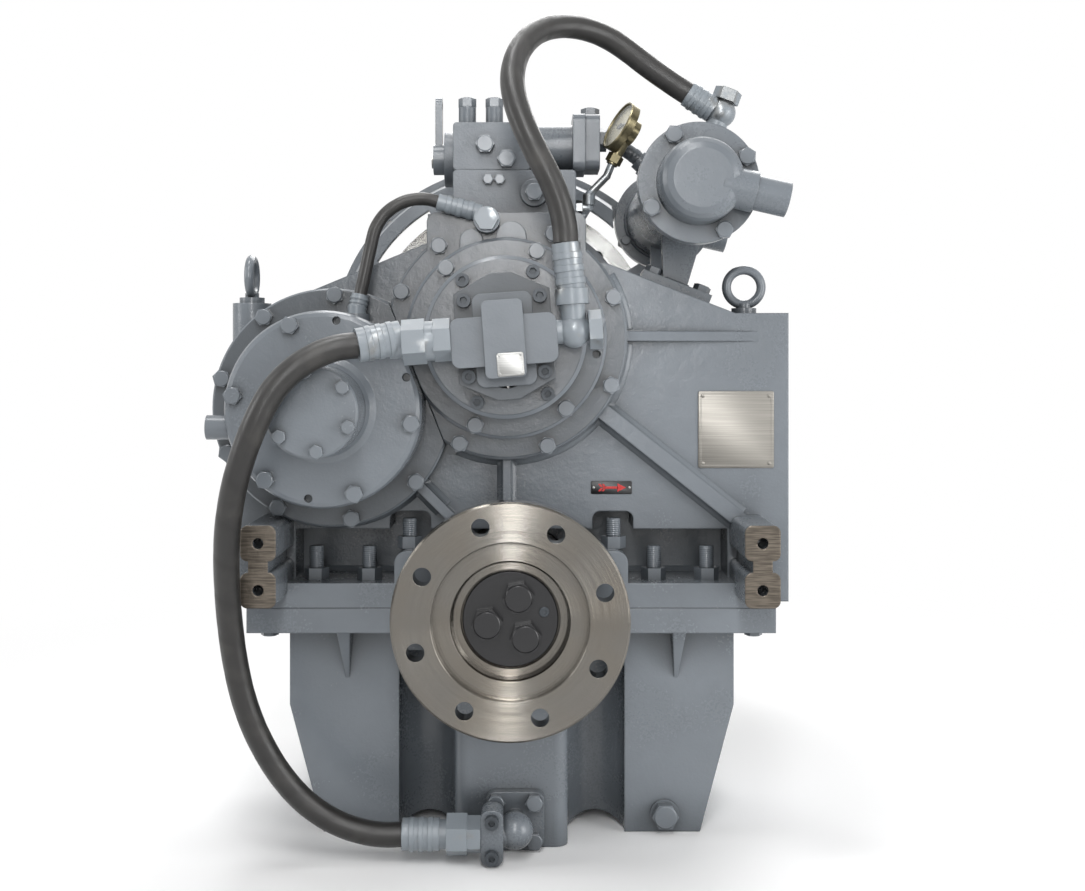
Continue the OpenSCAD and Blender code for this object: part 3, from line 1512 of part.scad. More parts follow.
module suction_fittings() {
  color(zinc) {
    pump_frame() translate([0, port_y, 0]) union() {
      hex_x(34, -port_block_half - 16, -port_block_half);
      rod_x(18, -port_block_half - 24, -port_block_half - 15);
      hex_x(36, -port_block_half - 44, -port_block_half - 23);
      rod_x(14, -port_block_half - 56, -port_block_half - 43);
    }
    ferrule(suction_route, true, 15.5, 40);
    translate([0, suction_port_y, suction_port_z]) union() {
      hex_x(32, elbow_block_x0 - 14, elbow_block_x0);
      hex_x(36, elbow_block_x0 - 33, elbow_block_x0 - 13);
      rod_x(14, -98, elbow_block_x0 - 32);
    }
    ferrule(suction_route, false, 15.5, 36);
  }
}

module pressure_hose() { color(rubber) hose(pressure_route, pressure_r); }

module pressure_fittings() {
  color(zinc) {
    union() {
      pump_frame() translate([0, port_y, 0]) {
        rod_x(11, port_block_half, banjo_x);
        hex_x(31, banjo_x + 13, banjo_x + 25);
        translate([banjo_x, 0, 0]) {
          sphere(15.5);
          rod_z(11.5, 8, 30);
          rod_z(15, 24, 38);
        }
      }
      ferrule(pressure_route, true, 13, 46);
    }
    union() {
      translate([cooler_x, pressure_port_y, cooler_z]) rotate([0, -pressure_port_angle, 0]) {
        rod_x(11, 66, pressure_elbow);
        translate([pressure_elbow, 0, 0]) sphere(15);
        hex_x(24, pressure_elbow + 12, pressure_elbow + 24);
      }
      ferrule(pressure_route, false, 13, 30);
    }
  }
}

clutch_port = [-152.5, 64, reverse_z + disc_r - 2];
banjo_seat = [-24.3, cover_face_y, 387.8];

module clutch_hose() { color(rubber) hose(clutch_route, clutch_hose_r); }

module clutch_fittings() {
  color(zinc) {
    translate(banjo_seat) union() {
      rod_y(13, -20, 0);
      hex_y(21, -29, -19);
      rod_y(bolt_r, -1, 12);
    }
    ferrule(clutch_route, true, 8.5, 44);
    ferrule(clutch_route, false, 8.5, 17);
    translate(clutch_port) cylinder(r = 9, h = 8);
  }
}

// Rigid pipe from the regulator to the cooler's inlet boss
module cooler_pipe() {
  start = [end_plate_x1, return_port_y, regulator_z + 13];
  outlet = [cos(return_port_angle), 0, sin(return_port_angle)];
  axis_point = [cooler_x, return_port_y, cooler_z];
  color(rubber) union() {
    pipe_run([start, start + [14, 0, 0], axis_point + outlet * 70, axis_point + outlet * 56], 8);
    translate(start) hex_x(22, 0, 9);
    aim(axis_point + outlet * 56, outlet) cylinder(r = 11, h = 8);
  }
}

gauge_body_mid = gauge_mid - gauge_back * unit(gauge_out);

module gauge_case() {
  color(brass)
    difference() {
      union() {
        aim(gauge_mid - (gauge_back + 6) * unit(gauge_out), gauge_out) {
          cylinder(r = gauge_r * 0.52, h = gauge_back + 6);
          translate([0, 0, gauge_back - 3]) cylinder(r = gauge_r, h = 9);
        }
        aim(gauge_body_mid, gauge_down) {
          cylinder(r = 6, h = gauge_r + 12);
          translate([0, 0, gauge_r + 1]) cylinder(d = 17, h = 9, $fn = 6);
        }
      }
      aim(gauge_mid - 4 * unit(gauge_out), gauge_out) cylinder(r = gauge_r - 2.5, h = 5);
      aim(gauge_mid - 7 * unit(gauge_out), gauge_out) cylinder(r = 1.2 + run_fit, h = 5);
    }
}

module gauge_needle() {
  color(black)
    aim(gauge_mid - 6.5 * unit(gauge_out), gauge_out) {
      cylinder(r = 1.2, h = 4.4);
      translate([0, 0, 3.2]) cylinder(r = 3.4, h = 1.2);
      translate([0, 0, 3.2]) linear_extrude(1) polygon([[-1.6, 0], [1.6, 0], [0.4, 21], [-0.4, 21]]);
      translate([0, 0, 3.2]) linear_extrude(1) polygon([[-1.6, 0], [-1.6, -8], [1.6, -8], [1.6, 0]]);
    }
}

module gauge_pipe() {
  start = gauge_body_mid + (gauge_r + 12) * unit(gauge_down);
  elbow = [valve_base_x1 + 14, gauge_mid[1], valve_z0 + 9];
  color(machined) union() {
    pipe_run([
      start, start + [-5, 0, -12], elbow + [0, 0, 14], elbow, [valve_base_x1, elbow[1], elbow[2]]
    ], 4);
    translate([0, elbow[1], elbow[2]]) hex_x(14, valve_base_x1, valve_base_x1 + 7);
    translate([elbow[0], elbow[1], 0]) rod_z(6.5, elbow[2] + 3, elbow[2] + 14);
  }
}

upper_casing();
lower_casing();
bell_housing();
input_cover();
input_bearing_ring();
pump_adapter();
pump_body();
pump_cover();
reverse_cover();
reverse_bearing_cover();
reverse_end_cap();
hex_bolts();
cap_bolts();
socket_screws();
casing_studs();
drain_plug();
output_seal();
bearing_cups();
valve_base();
valve_body();
pressure_regulator();
valve_plugs();
cooler_shell();
cooler_front_cap();
cooler_rear_cap();
eye_bolts();
suction_elbow();
suction_hose();
suction_fittings();
pressure_hose();
pressure_fittings();
clutch_hose();
clutch_fittings();
cooler_pipe();
gauge_case();
gauge_pipe();
output_shaft();
output_gear();
output_flange();
retainer_plate();
retainer_bolts();
output_bearing_cones();
input_shaft();
forward_drum();
forward_pinion();
forward_plates();
input_bearing_cones();
coupling_ring();
coupling_rubber();
pump_drive_gear();
reverse_shaft();
reverse_drum();
reverse_steel_plates();
reverse_bearing_cones();
reverse_pinion();
reverse_friction_plates();
pump_idler_gear();
control_lever();
control_shaft();
gauge_needle();
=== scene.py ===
"""Looks of a marine reverse-reduction gearbox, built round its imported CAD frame."""

import logging
import math
from dataclasses import dataclass, field
from enum import Enum
from functools import cache
from typing import Callable, ClassVar, Optional, Sequence, Union

import bmesh
import bpy
import numpy as np
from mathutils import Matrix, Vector


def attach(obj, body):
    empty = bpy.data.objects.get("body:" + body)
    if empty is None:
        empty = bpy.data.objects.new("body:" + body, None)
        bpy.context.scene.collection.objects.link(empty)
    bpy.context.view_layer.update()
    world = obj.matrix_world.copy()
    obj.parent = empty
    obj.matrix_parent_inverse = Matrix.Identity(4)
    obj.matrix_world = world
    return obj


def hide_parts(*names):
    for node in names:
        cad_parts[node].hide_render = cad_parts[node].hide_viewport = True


LOG = logging.getLogger("gearbox")
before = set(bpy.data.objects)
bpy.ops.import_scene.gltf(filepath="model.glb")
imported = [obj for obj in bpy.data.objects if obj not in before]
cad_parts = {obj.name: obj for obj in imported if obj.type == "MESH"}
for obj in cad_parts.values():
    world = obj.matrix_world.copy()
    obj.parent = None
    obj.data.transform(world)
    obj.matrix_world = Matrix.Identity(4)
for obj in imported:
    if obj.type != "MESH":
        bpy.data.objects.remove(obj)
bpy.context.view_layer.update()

MM = 0.001
INPUT_AXIS = (-4.995, 269.954)
REVERSE_AXIS = (-180.787, 200.54)
COOLER_AXIS = (181.08, 418.91)
FRONT_WALL_Y = 120.0
PAD_FACE_Y = 15.0
SUNK = 0.4
TINY = 1e-6
LAY = "lay"
FORWARD = (0, -1, 0)
LAP_PER_MM, LAP_SHARPNESS = 0.075, 14
PLATE_CORNER, PLATE_RISE = 2.0, 1.2
BORDER_INSETS, BORDER_HEIGHTS = (2.4, 3.3), (1.1, 1.4)
SCREW_DOME = ((0.9, 0.3), (0.5, 0.5), (0.0, 0.55))
HEX_TOP = ((0.99, 0.0), (0.93, 0.07), (0.88, 0.1), (0.0, 0.1))
Point = Sequence[float]
Key = Union[int, str]


class Slot(Enum):
    """Material slots, which each piece keeps; nothing in this script reads them."""

    PAINT = "casting_paint"
    FASTENER = "fastener_paint"
    RUBBER = "rubber"
    BLACK = "black_steel"
    ZINC = "zinc"
    BRASS = "brass"


def linear(value: float) -> float:
    """Returns the linear share of light for a screen value of 0 to 255."""
    v = value / 255
    return v / 12.92 if v <= 0.04045 else ((v + 0.055) / 1.055) ** 2.4


def srgb(red: float, green: float, blue: float) -> tuple[float, float, float, float]:
    """Returns the linear colour, with an alpha of 1, of a screen colour of 0 to 255."""
    return linear(red), linear(green), linear(blue), 1.0


def dimmed(colour: tuple, share: float) -> tuple[float, float, float, float]:
    """Returns a colour with each channel multiplied by a share."""
    return colour[0] * share, colour[1] * share, colour[2] * share, 1.0


def math_method(operation: str, swapped: bool = False) -> Callable[..., "Sock"]:
    """Makes a method that joins a shader value and another by a Math node.

    Args:
        operation: The Math node's operation.
        swapped: Whether the other value comes first.

    Returns:
        The method.
    """

    def method(self: "Sock", *others: "Value") -> "Sock":
        """Returns the Math node's result."""
        values = (*others, self) if swapped else (self, *others)
        return self.tree.node("ShaderNodeMath", values, operation=operation)

    return method


class Sock:
    """A shader value with arithmetic, so that a finish reads as a formula; > and < give 1 or 0."""

    __add__ = __radd__ = math_method("ADD")
    __mul__ = __rmul__ = math_method("MULTIPLY")
    __sub__, __rsub__ = math_method("SUBTRACT"), math_method("SUBTRACT", True)
    __truediv__, __rtruediv__ = math_method("DIVIDE"), math_method("DIVIDE", True)
    __gt__, __lt__ = math_method("GREATER_THAN"), math_method("LESS_THAN")
    __pow__, __abs__ = math_method("POWER"), math_method("ABSOLUTE")
    sine, root = math_method("SINE"), math_method("SQRT")

    def __init__(self, tree: "Tree", node: bpy.types.Node, out: Key = 0) -> None:
        """Keeps a node and the name or place of one of its outputs."""
        self.tree, self.node, self.out = tree, node, out

    def output(self, out: Key) -> "Sock":
        """Returns another output of the same node."""
        return Sock(self.tree, self.node, out)

    def step(self, low: float, high: float) -> "Sock":
        """Returns a smooth step from 0 at low to 1 at high."""
        ends = {0: self, 1: low, 2: high}
        return self.tree.node("ShaderNodeMapRange", ends, interpolation_type="SMOOTHSTEP")


Value = Union[Sock, float]
Colour = Union[Sock, tuple]


class Tree:
    """The node tree of one material or world."""

    def __init__(self, owner: Union[bpy.types.Material, bpy.types.World]) -> None:
        """Empties the owner's node tree.

        Args:
            owner: The material or world.
        """
        owner.use_nodes = True
        self.owner = owner
        self.nodes, self.links = owner.node_tree.nodes, owner.node_tree.links
        self.nodes.clear()

    def node(self, kind: str, inputs: Union[dict, Sequence] = (), out: Key = 0, **settings: object) -> Sock:
        """Makes one node.

        Args:
            kind: The node's type name.
            inputs: Values or links of its sockets, by place or by name.
            out: The output that is returned.
            **settings: Properties of the node, which are set first.

        Returns:
            The chosen output.
        """
        made = self.nodes.new(kind)
        for key, value in settings.items():
            setattr(made, key, value)
        for key, value in inputs.items() if isinstance(inputs, dict) else enumerate(inputs):
            if isinstance(value, Sock):
                self.links.new(value.node.outputs[value.out], made.inputs[key])
            else:
                made.inputs[key].default_value = value
        return Sock(self, made, out)

    def place(self) -> Sock:
        """Returns the point being shaded, in metres of the frame."""
        return self.node("ShaderNodeTexCoord", out="Object")

    def axes(self) -> tuple[Sock, Sock, Sock]:
        """Returns the point's three coordinates in metres."""
        split = self.node("ShaderNodeSeparateXYZ", (self.place(),))
        return split, split.output(1), split.output(2)

    def upward(self) -> Sock:
        """Returns how far the surface faces up, from -1 to 1."""
        normal = self.node("ShaderNodeNewGeometry", out="Normal")
        return self.node("ShaderNodeSeparateXYZ", (normal,), out=2)

    def noise(self, scale: float, detail: float = 3.0, stretch: Point = (1, 1, 1)) -> Sock:
        """Returns noise about 0.5 with features of about 1/scale metres."""
        where = self.node("ShaderNodeMapping", {0: self.place(), 3: stretch})
        return self.node("ShaderNodeTexNoise", {"Vector": where, "Scale": scale, "Detail": detail})

    def corners(self, reach: float) -> Sock:
        """Returns 1 deep in corners narrower than a reach in millimetres, and 0 on open surfaces."""
        free = self.node("ShaderNodeAmbientOcclusion", {"Distance": reach * MM}, "AO", samples=8)
        return 1 - free.step(0.2, 0.9)

    def mix(self, factor: Value, first: Colour, second: Colour) -> Sock:
        """Returns a colour between first and second."""
        return self.node("ShaderNodeMix", {0: factor, 6: first, 7: second}, out=2, data_type="RGBA")

    def bump(self, height: Sock, depth: float, under: Optional[Sock] = None) -> Sock:
        """Returns a normal from a height of 0 to 1 and a depth in millimetres, over another normal."""
        inputs = {"Height": height, "Distance": depth * MM, "Strength": 1.0}
        return self.node("ShaderNodeBump", inputs if under is None else {**inputs, "Normal": under})

    def soft_edge(self, radius: float) -> Sock:
        """Returns the normal of a surface whose edges are rounded to a radius in millimetres."""
        return self.node("ShaderNodeBevel", {"Radius": radius * MM}, samples=6)

    def surface(self, **inputs: Union[Sock, float, tuple]) -> bpy.types.Material:
        """Closes a material's tree with one surface.

        Args:
            **inputs: Surface inputs by name, with underscores for spaces.

        Returns:
            The finished material.
        """
        named = {key.replace("_", " "): value for key, value in inputs.items()}
        self.node("ShaderNodeOutputMaterial", (self.node("ShaderNodeBsdfPrincipled", named),))
        return self.owner


def new_tree(name: str) -> Tree:
    """Returns the empty tree of a new material."""
    return Tree(bpy.data.materials.new(name))


@dataclass(frozen=True)
class CastPaint:
    """Satin paint over sand-cast iron, with a dark line where two pieces meet at a seam."""

    name: str
    colour: tuple = srgb(113, 119, 125)
    grain: float = 0.2
    roughness: float = 0.22
    edge: float = 2.2
    seams: tuple = ()
    casing: bool = False
    # reach in millimetres and share of the painted shade that darkens the paint deep in corners
    corner_shade: tuple = (70.0, 0.75)
    seam_m: tuple = (0.0002, 0.0008)
    split_m: tuple = (0.0003, 0.0011)
    pad_from: tuple = (0.2, 0.0008)

    def make(self) -> bpy.types.Material:
        """Makes the material: patches, dust on top, painted shade deep in corners, seam lines and, on the
        casing, bare pad faces.

        Returns:
            The material.
        """
        t = new_tree(self.name)
        x, y, z = t.axes()
        patch, fine = t.noise(14, 4), t.noise(420, 2)
        # dark is both the painted shade of corners and the colour of the dark seam lines
        dark = srgb(52, 55, 58)
        shade = t.mix(patch.step(0.3, 0.7), self.colour, dimmed(self.colour, 0.88))
        dust = t.upward().step(0.4, 1.0) * 0.14 * t.noise(60, 3).step(0.3, 0.7)
        shade = t.mix(dust, shade, srgb(172, 175, 176))
        # painted shade: an occlusion mask darkens the colour deep in corners and recesses, where shade falls
        reach, share = self.corner_shade
        shade = t.mix(t.corners(reach) * share, shade, dark)
        for seam in self.seams:
            shade = t.mix((1 - abs(y - seam * MM).step(*self.seam_m)) * 0.5, shade, dark)
        rough = self.roughness + patch * 0.14 - fine * 0.06
        metal: Value = 0.0
        if self.casing:
            shade = t.mix((1 - abs(z).step(*self.split_m)) * 0.6, shade, dark)
            pad_x, skin = self.pad_from
            bare = (y < PAD_FACE_Y * MM + skin) * (abs(x) > pad_x)
            scratch = t.noise(90, 5, (0.6, 1, 9)).step(0.3, 0.7)
            shade = t.mix(bare, shade, t.mix(scratch, srgb(76, 70, 63), srgb(112, 104, 94)))
            rough = rough + bare * 0.06
            metal = bare * 0.7
        normal = t.bump(fine * 0.8 + t.noise(1500, 1) * 0.2, self.grain, t.soft_edge(self.edge))
        normal = t.bump(t.noise(55, 2), self.grain * 2.4, normal)
        return t.surface(Base_Color=shade, Roughness=rough, Metallic=metal, Normal=normal)


@dataclass(frozen=True)
class TurnedSteel:
    """Bright steel turned on a lathe about an axis along Y, so that it shines in wedges."""

    name: str
    centre: tuple = (0.0, 0.0)
    colour: tuple = srgb(118, 115, 110)
    grooves: float = 2400.0
    tilt: float = 2.2
    roughness: float = 0.13

    def make(self) -> bpy.types.Material:
        """Makes the material: noise over the radius alone leans each groove in or out.

        Returns:
            The material.
        """
        t = new_tree(self.name)
        x, _, z = t.axes()
        dx, dz = x - self.centre[0] * MM, z - self.centre[1] * MM
        radius = (dx * dx + dz * dz).root() + TINY
        across = {"W": radius * self.grooves, "Detail": 2.0}
        groove = t.node("ShaderNodeTexNoise", across, noise_dimensions="1D")
        lean = (groove - 0.5) * self.tilt / radius
        lean_vector = t.node("ShaderNodeCombineXYZ", (dx * lean, 0.0, dz * lean))
        normal = t.node("ShaderNodeVectorMath", (t.soft_edge(0.6), lean_vector), operation="ADD")
        normal = t.node("ShaderNodeVectorMath", (normal,), operation="NORMALIZE")
        smear = t.noise(18, 4)
        shade = t.mix(smear.step(0.35, 0.75) * 0.5, self.colour, srgb(118, 111, 101))
        shade = t.mix(t.noise(150, 3).step(0.66, 0.84) * 0.3, shade, srgb(120, 106, 92))
        rough = self.roughness + smear * 0.08
        return t.surface(Base_Color=shade, Roughness=rough, Metallic=1.0, Normal=normal)


@dataclass(frozen=True)
class Plated:
    """Zinc plating that the casing's paint has partly covered."""

    name: str
    cover: float
    paint: tuple = srgb(124, 131, 137)

    def make(self) -> bpy.types.Material:
        """Makes the material: paint, and zinc where broad noise is over the cover.

        Returns:
            The material.
        """
        t = new_tree(self.name)
        worn = t.noise(46, 4).step(self.cover - 0.12, self.cover + 0.02)
        fine = t.noise(700, 2)
        zinc = t.mix(fine, srgb(122, 125, 127), srgb(150, 152, 152))
        shade = t.mix(worn, self.paint, zinc)
        rough = 0.34 - worn * 0.06 + fine * 0.1
        normal = t.bump(fine, 0.05, t.soft_edge(0.9))
        metal = worn * 0.9
        return t.surface(Base_Color=shade, Roughness=rough, Metallic=metal, Normal=normal, Coat_Weight=0.1)


@dataclass(frozen=True)
class Plain:
    """One even surface with a little grain."""

    name: str
    colour: tuple
    roughness: float
    metallic: float = 0.0
    grain: float = 0.03
    scale: float = 600.0
    alpha: float = 1.0
    edge: float = 0.5

    def make(self) -> bpy.types.Material:
        """Makes the material, whose fine noise shades, roughens and dents it.

        Returns:
            The material.
        """
        t = new_tree(self.name)
        fine = t.noise(self.scale, 3)
        shade = t.mix(fine.step(0.25, 0.75), self.colour, dimmed(self.colour, 0.8))
        rough = self.roughness + fine * 0.12 - 0.06
        normal = t.bump(fine, self.grain, t.soft_edge(self.edge))
        fixed = {"Metallic": self.metallic, "Alpha": self.alpha}
        return t.surface(Base_Color=shade, Roughness=rough, Normal=normal, **fixed)


@dataclass(frozen=True)
class WrappedRubber:
    """Hose rubber cured under a cloth wrap, which left its weave and its lap on it."""

    name: str
    colour: tuple = srgb(38, 37, 36)

    def make(self) -> bpy.types.Material:
        """Makes the material: warp and weft are sines that climb to either side, the lap a spiral.

        Returns:
            The material.
        """
        t = new_tree(self.name)
        lay = t.node("ShaderNodeUVMap", out="UV", uv_map=LAY)
        along = t.node("ShaderNodeSeparateXYZ", (lay,))
        turn = along.output(1) * (2 * math.pi)
        warp = (along * 3600 + turn * 6).sine()
        weft = (along * 3600 - turn * 6).sine()
        lap = abs((along * (LAP_PER_MM / MM) + turn * 0.5).sine()) ** LAP_SHARPNESS
        worn = t.noise(34, 4).step(0.45, 0.8)
        shade = t.mix(worn * 0.6, self.colour, srgb(62, 60, 57))
        shade = t.mix(lap * 0.4, shade, srgb(28, 27, 26))
        rough = 0.34 + worn * 0.16 + lap * 0.1
        normal = t.bump(warp * weft * 0.5 + 0.5, 0.1)
        return t.surface(Base_Color=shade, Roughness=rough, Normal=normal)


@dataclass(frozen=True)
class Brushed:
    """Sheet metal brushed along X."""

    name: str
    colour: tuple

    def make(self) -> bpy.types.Material:
        """Makes the material from noise that is drawn out along X.

        Returns:
            The material.
        """
        t = new_tree(self.name)
        lines = t.noise(260, 4, (0.05, 1, 4))
        shade = t.mix(lines.step(0.2, 0.8), self.colour, dimmed(self.colour, 0.72))
        rough = 0.34 + lines * 0.16
        return t.surface(Base_Color=shade, Roughness=rough, Metallic=0.85, Normal=t.bump(lines, 0.02))


RECIPES = {recipe.name: recipe for recipe in (
    CastPaint("casing_paint", casing=True),
    CastPaint("cover_paint", srgb(112, 118, 124), 0.14, 0.2, 1.4, (102, 86, 65, 10, -32, -39)),
    CastPaint("pump_paint", srgb(103, 109, 115), 0.14, 0.36, 1.0, (-32, -39)),
    CastPaint("smooth_paint", srgb(106, 112, 118), 0.12, 0.24, 1.6),
    CastPaint("rough_paint", srgb(104, 110, 116), 0.3, 0.32, 1.8),
    CastPaint("fastener_paint", srgb(113, 119, 125), 0.06, 0.2, 0.4),
    TurnedSteel("flange_steel"),
    TurnedSteel("input_steel", INPUT_AXIS, srgb(176, 176, 174)),
    TurnedSteel("reverse_steel", REVERSE_AXIS, srgb(176, 176, 174)),
    Plated("zinc_plate", 0.5),
    Plated("painted_fitting", 0.68),
    WrappedRubber("hose_rubber"),
    Plain("black_rubber", srgb(38, 37, 36), 0.7, grain=0.2),
    Plain("black_oxide", srgb(30, 30, 32), 0.24, 0.0, 0.03, edge=0.35),
    Plain("dark_screw", srgb(62, 67, 72), 0.4, 0.3, 0.04),
    Plain("gauge_brass", srgb(126, 118, 92), 0.3, 0.8),
    Plain("friction_lining", srgb(128, 92, 52), 0.6, 0.2),
    Plain("dial_face", srgb(214, 206, 180), 0.5),
    Plain("dial_ink", srgb(24, 24, 26), 0.5),
    Plain("lens", srgb(235, 240, 240), 0.12, alpha=0.16),
    Plain("sign_black", srgb(22, 22, 24), 0.36),
    Plain("sign_red", srgb(196, 42, 40), 0.45),
    Brushed("plate_metal", srgb(142, 139, 133)),
    Brushed("label_metal", srgb(166, 166, 164)),
)}


@cache
def material(finish: str) -> bpy.types.Material:
    """Returns the material of a finish, which is made the first time that it is asked for."""
    return RECIPES[finish].make()


def unit(v: Point) -> np.ndarray:
    """Returns v with a length of 1."""
    a = np.asarray(v, float)
    return a / np.linalg.norm(a)


@dataclass(frozen=True)
class Spot:
    """A point and the way that a detail faces there, in millimetres of the frame."""

    origin: tuple
    facing: tuple
    up: tuple = (0, 0, 1)

    def world(self, points: np.ndarray) -> np.ndarray:
        """Carries local points to the frame: right, up and out are multiples of three unit vectors.

        Args:
            points: Points whose last coordinates run right, up and along the facing.

        Returns:
            The same points in the frame.
        """
        out = unit(self.facing)
        right = unit(np.cross(self.up, out))
        return np.asarray(self.origin, float) + points @ np.array([right, np.cross(out, right), out])

    def raised(self, right: float, up: float, out: float) -> "Spot":
        """Returns a spot beside this one that faces the same way."""
        return Spot(tuple(self.world(np.array([right, up, out]))), self.facing, self.up)


@dataclass
class Piece:
    """One visual mesh of closed surfaces, worked out in millimetres."""

    name: str
    finish: str
    slot: Slot
    body: str = "casing"
    verts: list = field(default_factory=list)
    faces: list = field(default_factory=list)
    lays: list = field(default_factory=list)
    crease: float = 38.0

    def grid(self, points: np.ndarray, caps: tuple[bool, bool] = (False, False)) -> "Piece":
        """Adds a surface through a grid of points, closed round its columns.

        Its map holds the length along the rows in metres and the share of the way round.

        Args:
            points: Rows by columns by 3, in millimetres of the frame.
            caps: Whether the first and the last row are filled with a flat face.

        Returns:
            This piece.
        """
        rows, columns = points.shape[:2]
        start = sum(len(v) for v in self.verts)
        self.verts.append(points.reshape(-1, 3) * MM)
        r, c = np.meshgrid(np.arange(rows - 1), np.arange(columns), indexing="ij")
        corners = [(r, c), (r, c + 1), (r + 1, c + 1), (r + 1, c)]
        quads = np.stack([i * columns + j % columns for i, j in corners], -1).reshape(-1, 4) + start
        self.faces.extend(quads.tolist())
        steps = np.linalg.norm(np.diff(points.mean(1), axis=0), axis=1)
        along = np.concatenate([[0], np.cumsum(steps)]) * MM
        lays = [np.stack([along[i], j / columns], -1) for i, j in corners]
        self.lays.append(np.stack(lays, 2).reshape(-1, 2))
        around = np.arange(columns)
        for wanted, ring, row in ((caps[0], around[::-1], 0), (caps[1], around, rows - 1)):
            if wanted:
                self.faces.append((ring + start + row * columns).tolist())
                self.lays.append(np.column_stack([np.full(columns, along[row]), ring / columns]))
        return self

    def turned(self, spot: Spot, profile: Sequence[tuple], sides: int = 28) -> "Piece":
        """Adds a profile that is turned about the facing: radius times cosine and sine, and its height.

        Args:
            spot: Its centre and axis.
            profile: Pairs of radius and height, which start and end on the axis or at the same point.
            sides: Number of columns.

        Returns:
            This piece.
        """
        a = np.linspace(0, 2 * math.pi, sides, endpoint=False)
        radius, height = np.asarray(profile, float).T[:, :, None]
        return self.grid(spot.world(np.stack([radius * np.cos(a), radius * np.sin(a), height + 0 * a], -1)))

    def layers(self, spot: Spot, rows: Sequence[tuple], caps: tuple[bool, bool] = (False, False)) -> "Piece":
        """Adds a surface through pairs of a flat outline and its height, and returns this piece."""
        points = [np.column_stack([outline, np.full(len(outline), height)]) for outline, height in rows]
        return self.grid(spot.world(np.stack(points)), caps)

    def slab(self, spot: Spot, outline: np.ndarray, rise: float, bevel: float = 0.3) -> "Piece":
        """Adds a flat plate of a height with a bevelled edge about the spot, and returns this piece."""
        inner = outline * (1 - bevel / np.abs(outline).max(0))
        return self.layers(spot, [(outline, 0.0), (outline, rise - bevel), (inner, rise)], (True, True))

    def tube(self, line: np.ndarray, radius: np.ndarray, sides: int) -> "Piece":
        """Adds a round bar: a line's points plus radius times cosine and sine of two vectors across.

        Args:
            line: Its middle line.
            radius: Radius at each point of the line and each side.
            sides: Number of columns.

        Returns:
            This piece.
        """
        n, b = carried_frames(line)
        a = np.linspace(0, 2 * math.pi, sides, endpoint=False)
        out = np.cos(a)[None, :, None] * n[:, None] + np.sin(a)[None, :, None] * b[:, None]
        reach = np.broadcast_to(radius, out.shape[:2])[..., None]
        return self.grid(line[:, None] + reach * out, (True, True))

    def make(self) -> bpy.types.Object:
        """Makes the object, which rides on its body; poles are merged and faces turned outwards.

        Returns:
            The object.
        """
        mesh = bpy.data.meshes.new(self.name)
        mesh.from_pydata(np.concatenate(self.verts).tolist(), [], self.faces)
        mesh.uv_layers.new(name=LAY).data.foreach_set("uv", np.concatenate(self.lays).ravel())
        work = bmesh.new()
        work.from_mesh(mesh)
        bmesh.ops.remove_doubles(work, verts=work.verts, dist=TINY)
        bmesh.ops.recalc_face_normals(work, faces=work.faces)
        work.to_mesh(mesh)
        work.free()
        mesh.polygons.foreach_set("use_smooth", np.ones(len(mesh.polygons), bool))
        mesh.set_sharp_from_angle(angle=math.radians(self.crease))
        made = bpy.data.objects.new(self.name, mesh)
        bpy.context.scene.collection.objects.link(made)
        mesh.materials.append(material(self.finish))
        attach(made, self.body)
        LOG.info("%s is made of %d faces on %s", self.name, len(mesh.polygons), self.body)
        return made


def carried_frames(line: np.ndarray) -> tuple[np.ndarray, np.ndarray]:
    """Finds two unit vectors across a line, each carried on from the point before without twist.

    Args:
        line: Points of the line.

    Returns:
        One vector across the line at each point, and the other.
    """
    ahead = np.gradient(line, axis=0)
    ahead /= np.linalg.norm(ahead, axis=1)[:, None]
    normals = [unit(np.cross(ahead[0], (0.02, 1, 0.03)))]
    for t in ahead[1:]:
        normals.append(unit(normals[-1] - (normals[-1] @ t) * t))
    n = np.array(normals)
    return n, np.cross(ahead, n)


def smooth_route(points: Sequence[Point], spacing: float) -> np.ndarray:
    """Carries a cubic spline through points; its bend is even over the first and the last stretch.

    Args:
        points: The points that it passes.
        spacing: Length between two points of the result.

    Returns:
        Points along the spline.
    """
    p = np.asarray(points, float)
    at = np.concatenate([[0], np.cumsum(np.linalg.norm(np.diff(p, axis=0), axis=1))])
    h, last = np.diff(at), len(p) - 1
    rule = np.zeros((last + 1, last + 1))
    rule[0, :2], rule[last, -2:] = (1, -1), (-1, 1)
    i = np.arange(1, last)
    rule[i, i - 1], rule[i, i], rule[i, i + 1] = h[:-1], 2 * (h[:-1] + h[1:]), h[1:]
    turn = np.diff(np.diff(p, axis=0) / h[:, None], axis=0)
    bend = np.linalg.solve(rule, np.pad(6 * turn, ((1, 1), (0, 0))))
    wanted = np.linspace(0, at[-1], int(at[-1] / spacing))
    k = np.clip(np.searchsorted(at, wanted) - 1, 0, last - 1)
    b = ((wanted - at[k]) / h[k])[:, None]
    a = 1 - b
    curve = ((a**3 - a) * bend[k] + (b**3 - b) * bend[k + 1]) * h[k][:, None] ** 2 / 6
    return a * p[k] + b * p[k + 1] + curve


def rounded(width: float, height: float, radius: float, steps: int = 6) -> np.ndarray:
    """Draws a rectangle with round corners: a quarter of a circle about each corner's centre.

    Args:
        width: Its width.
        height: Its height.
        radius: Radius of its corners.
        steps: Points of each corner.

    Returns:
        Points of the outline, about its middle.
    """
    quarter = np.radians(np.linspace(0, 90, steps))
    a = (quarter + np.radians([[0], [90], [180], [270]])).ravel()
    signs = np.array([[1, 1], [-1, 1], [-1, -1], [1, -1]])
    middles = signs * (width / 2 - radius, height / 2 - radius)
    return np.repeat(middles, steps, axis=0) + radius * np.column_stack([np.cos(a), np.sin(a)])


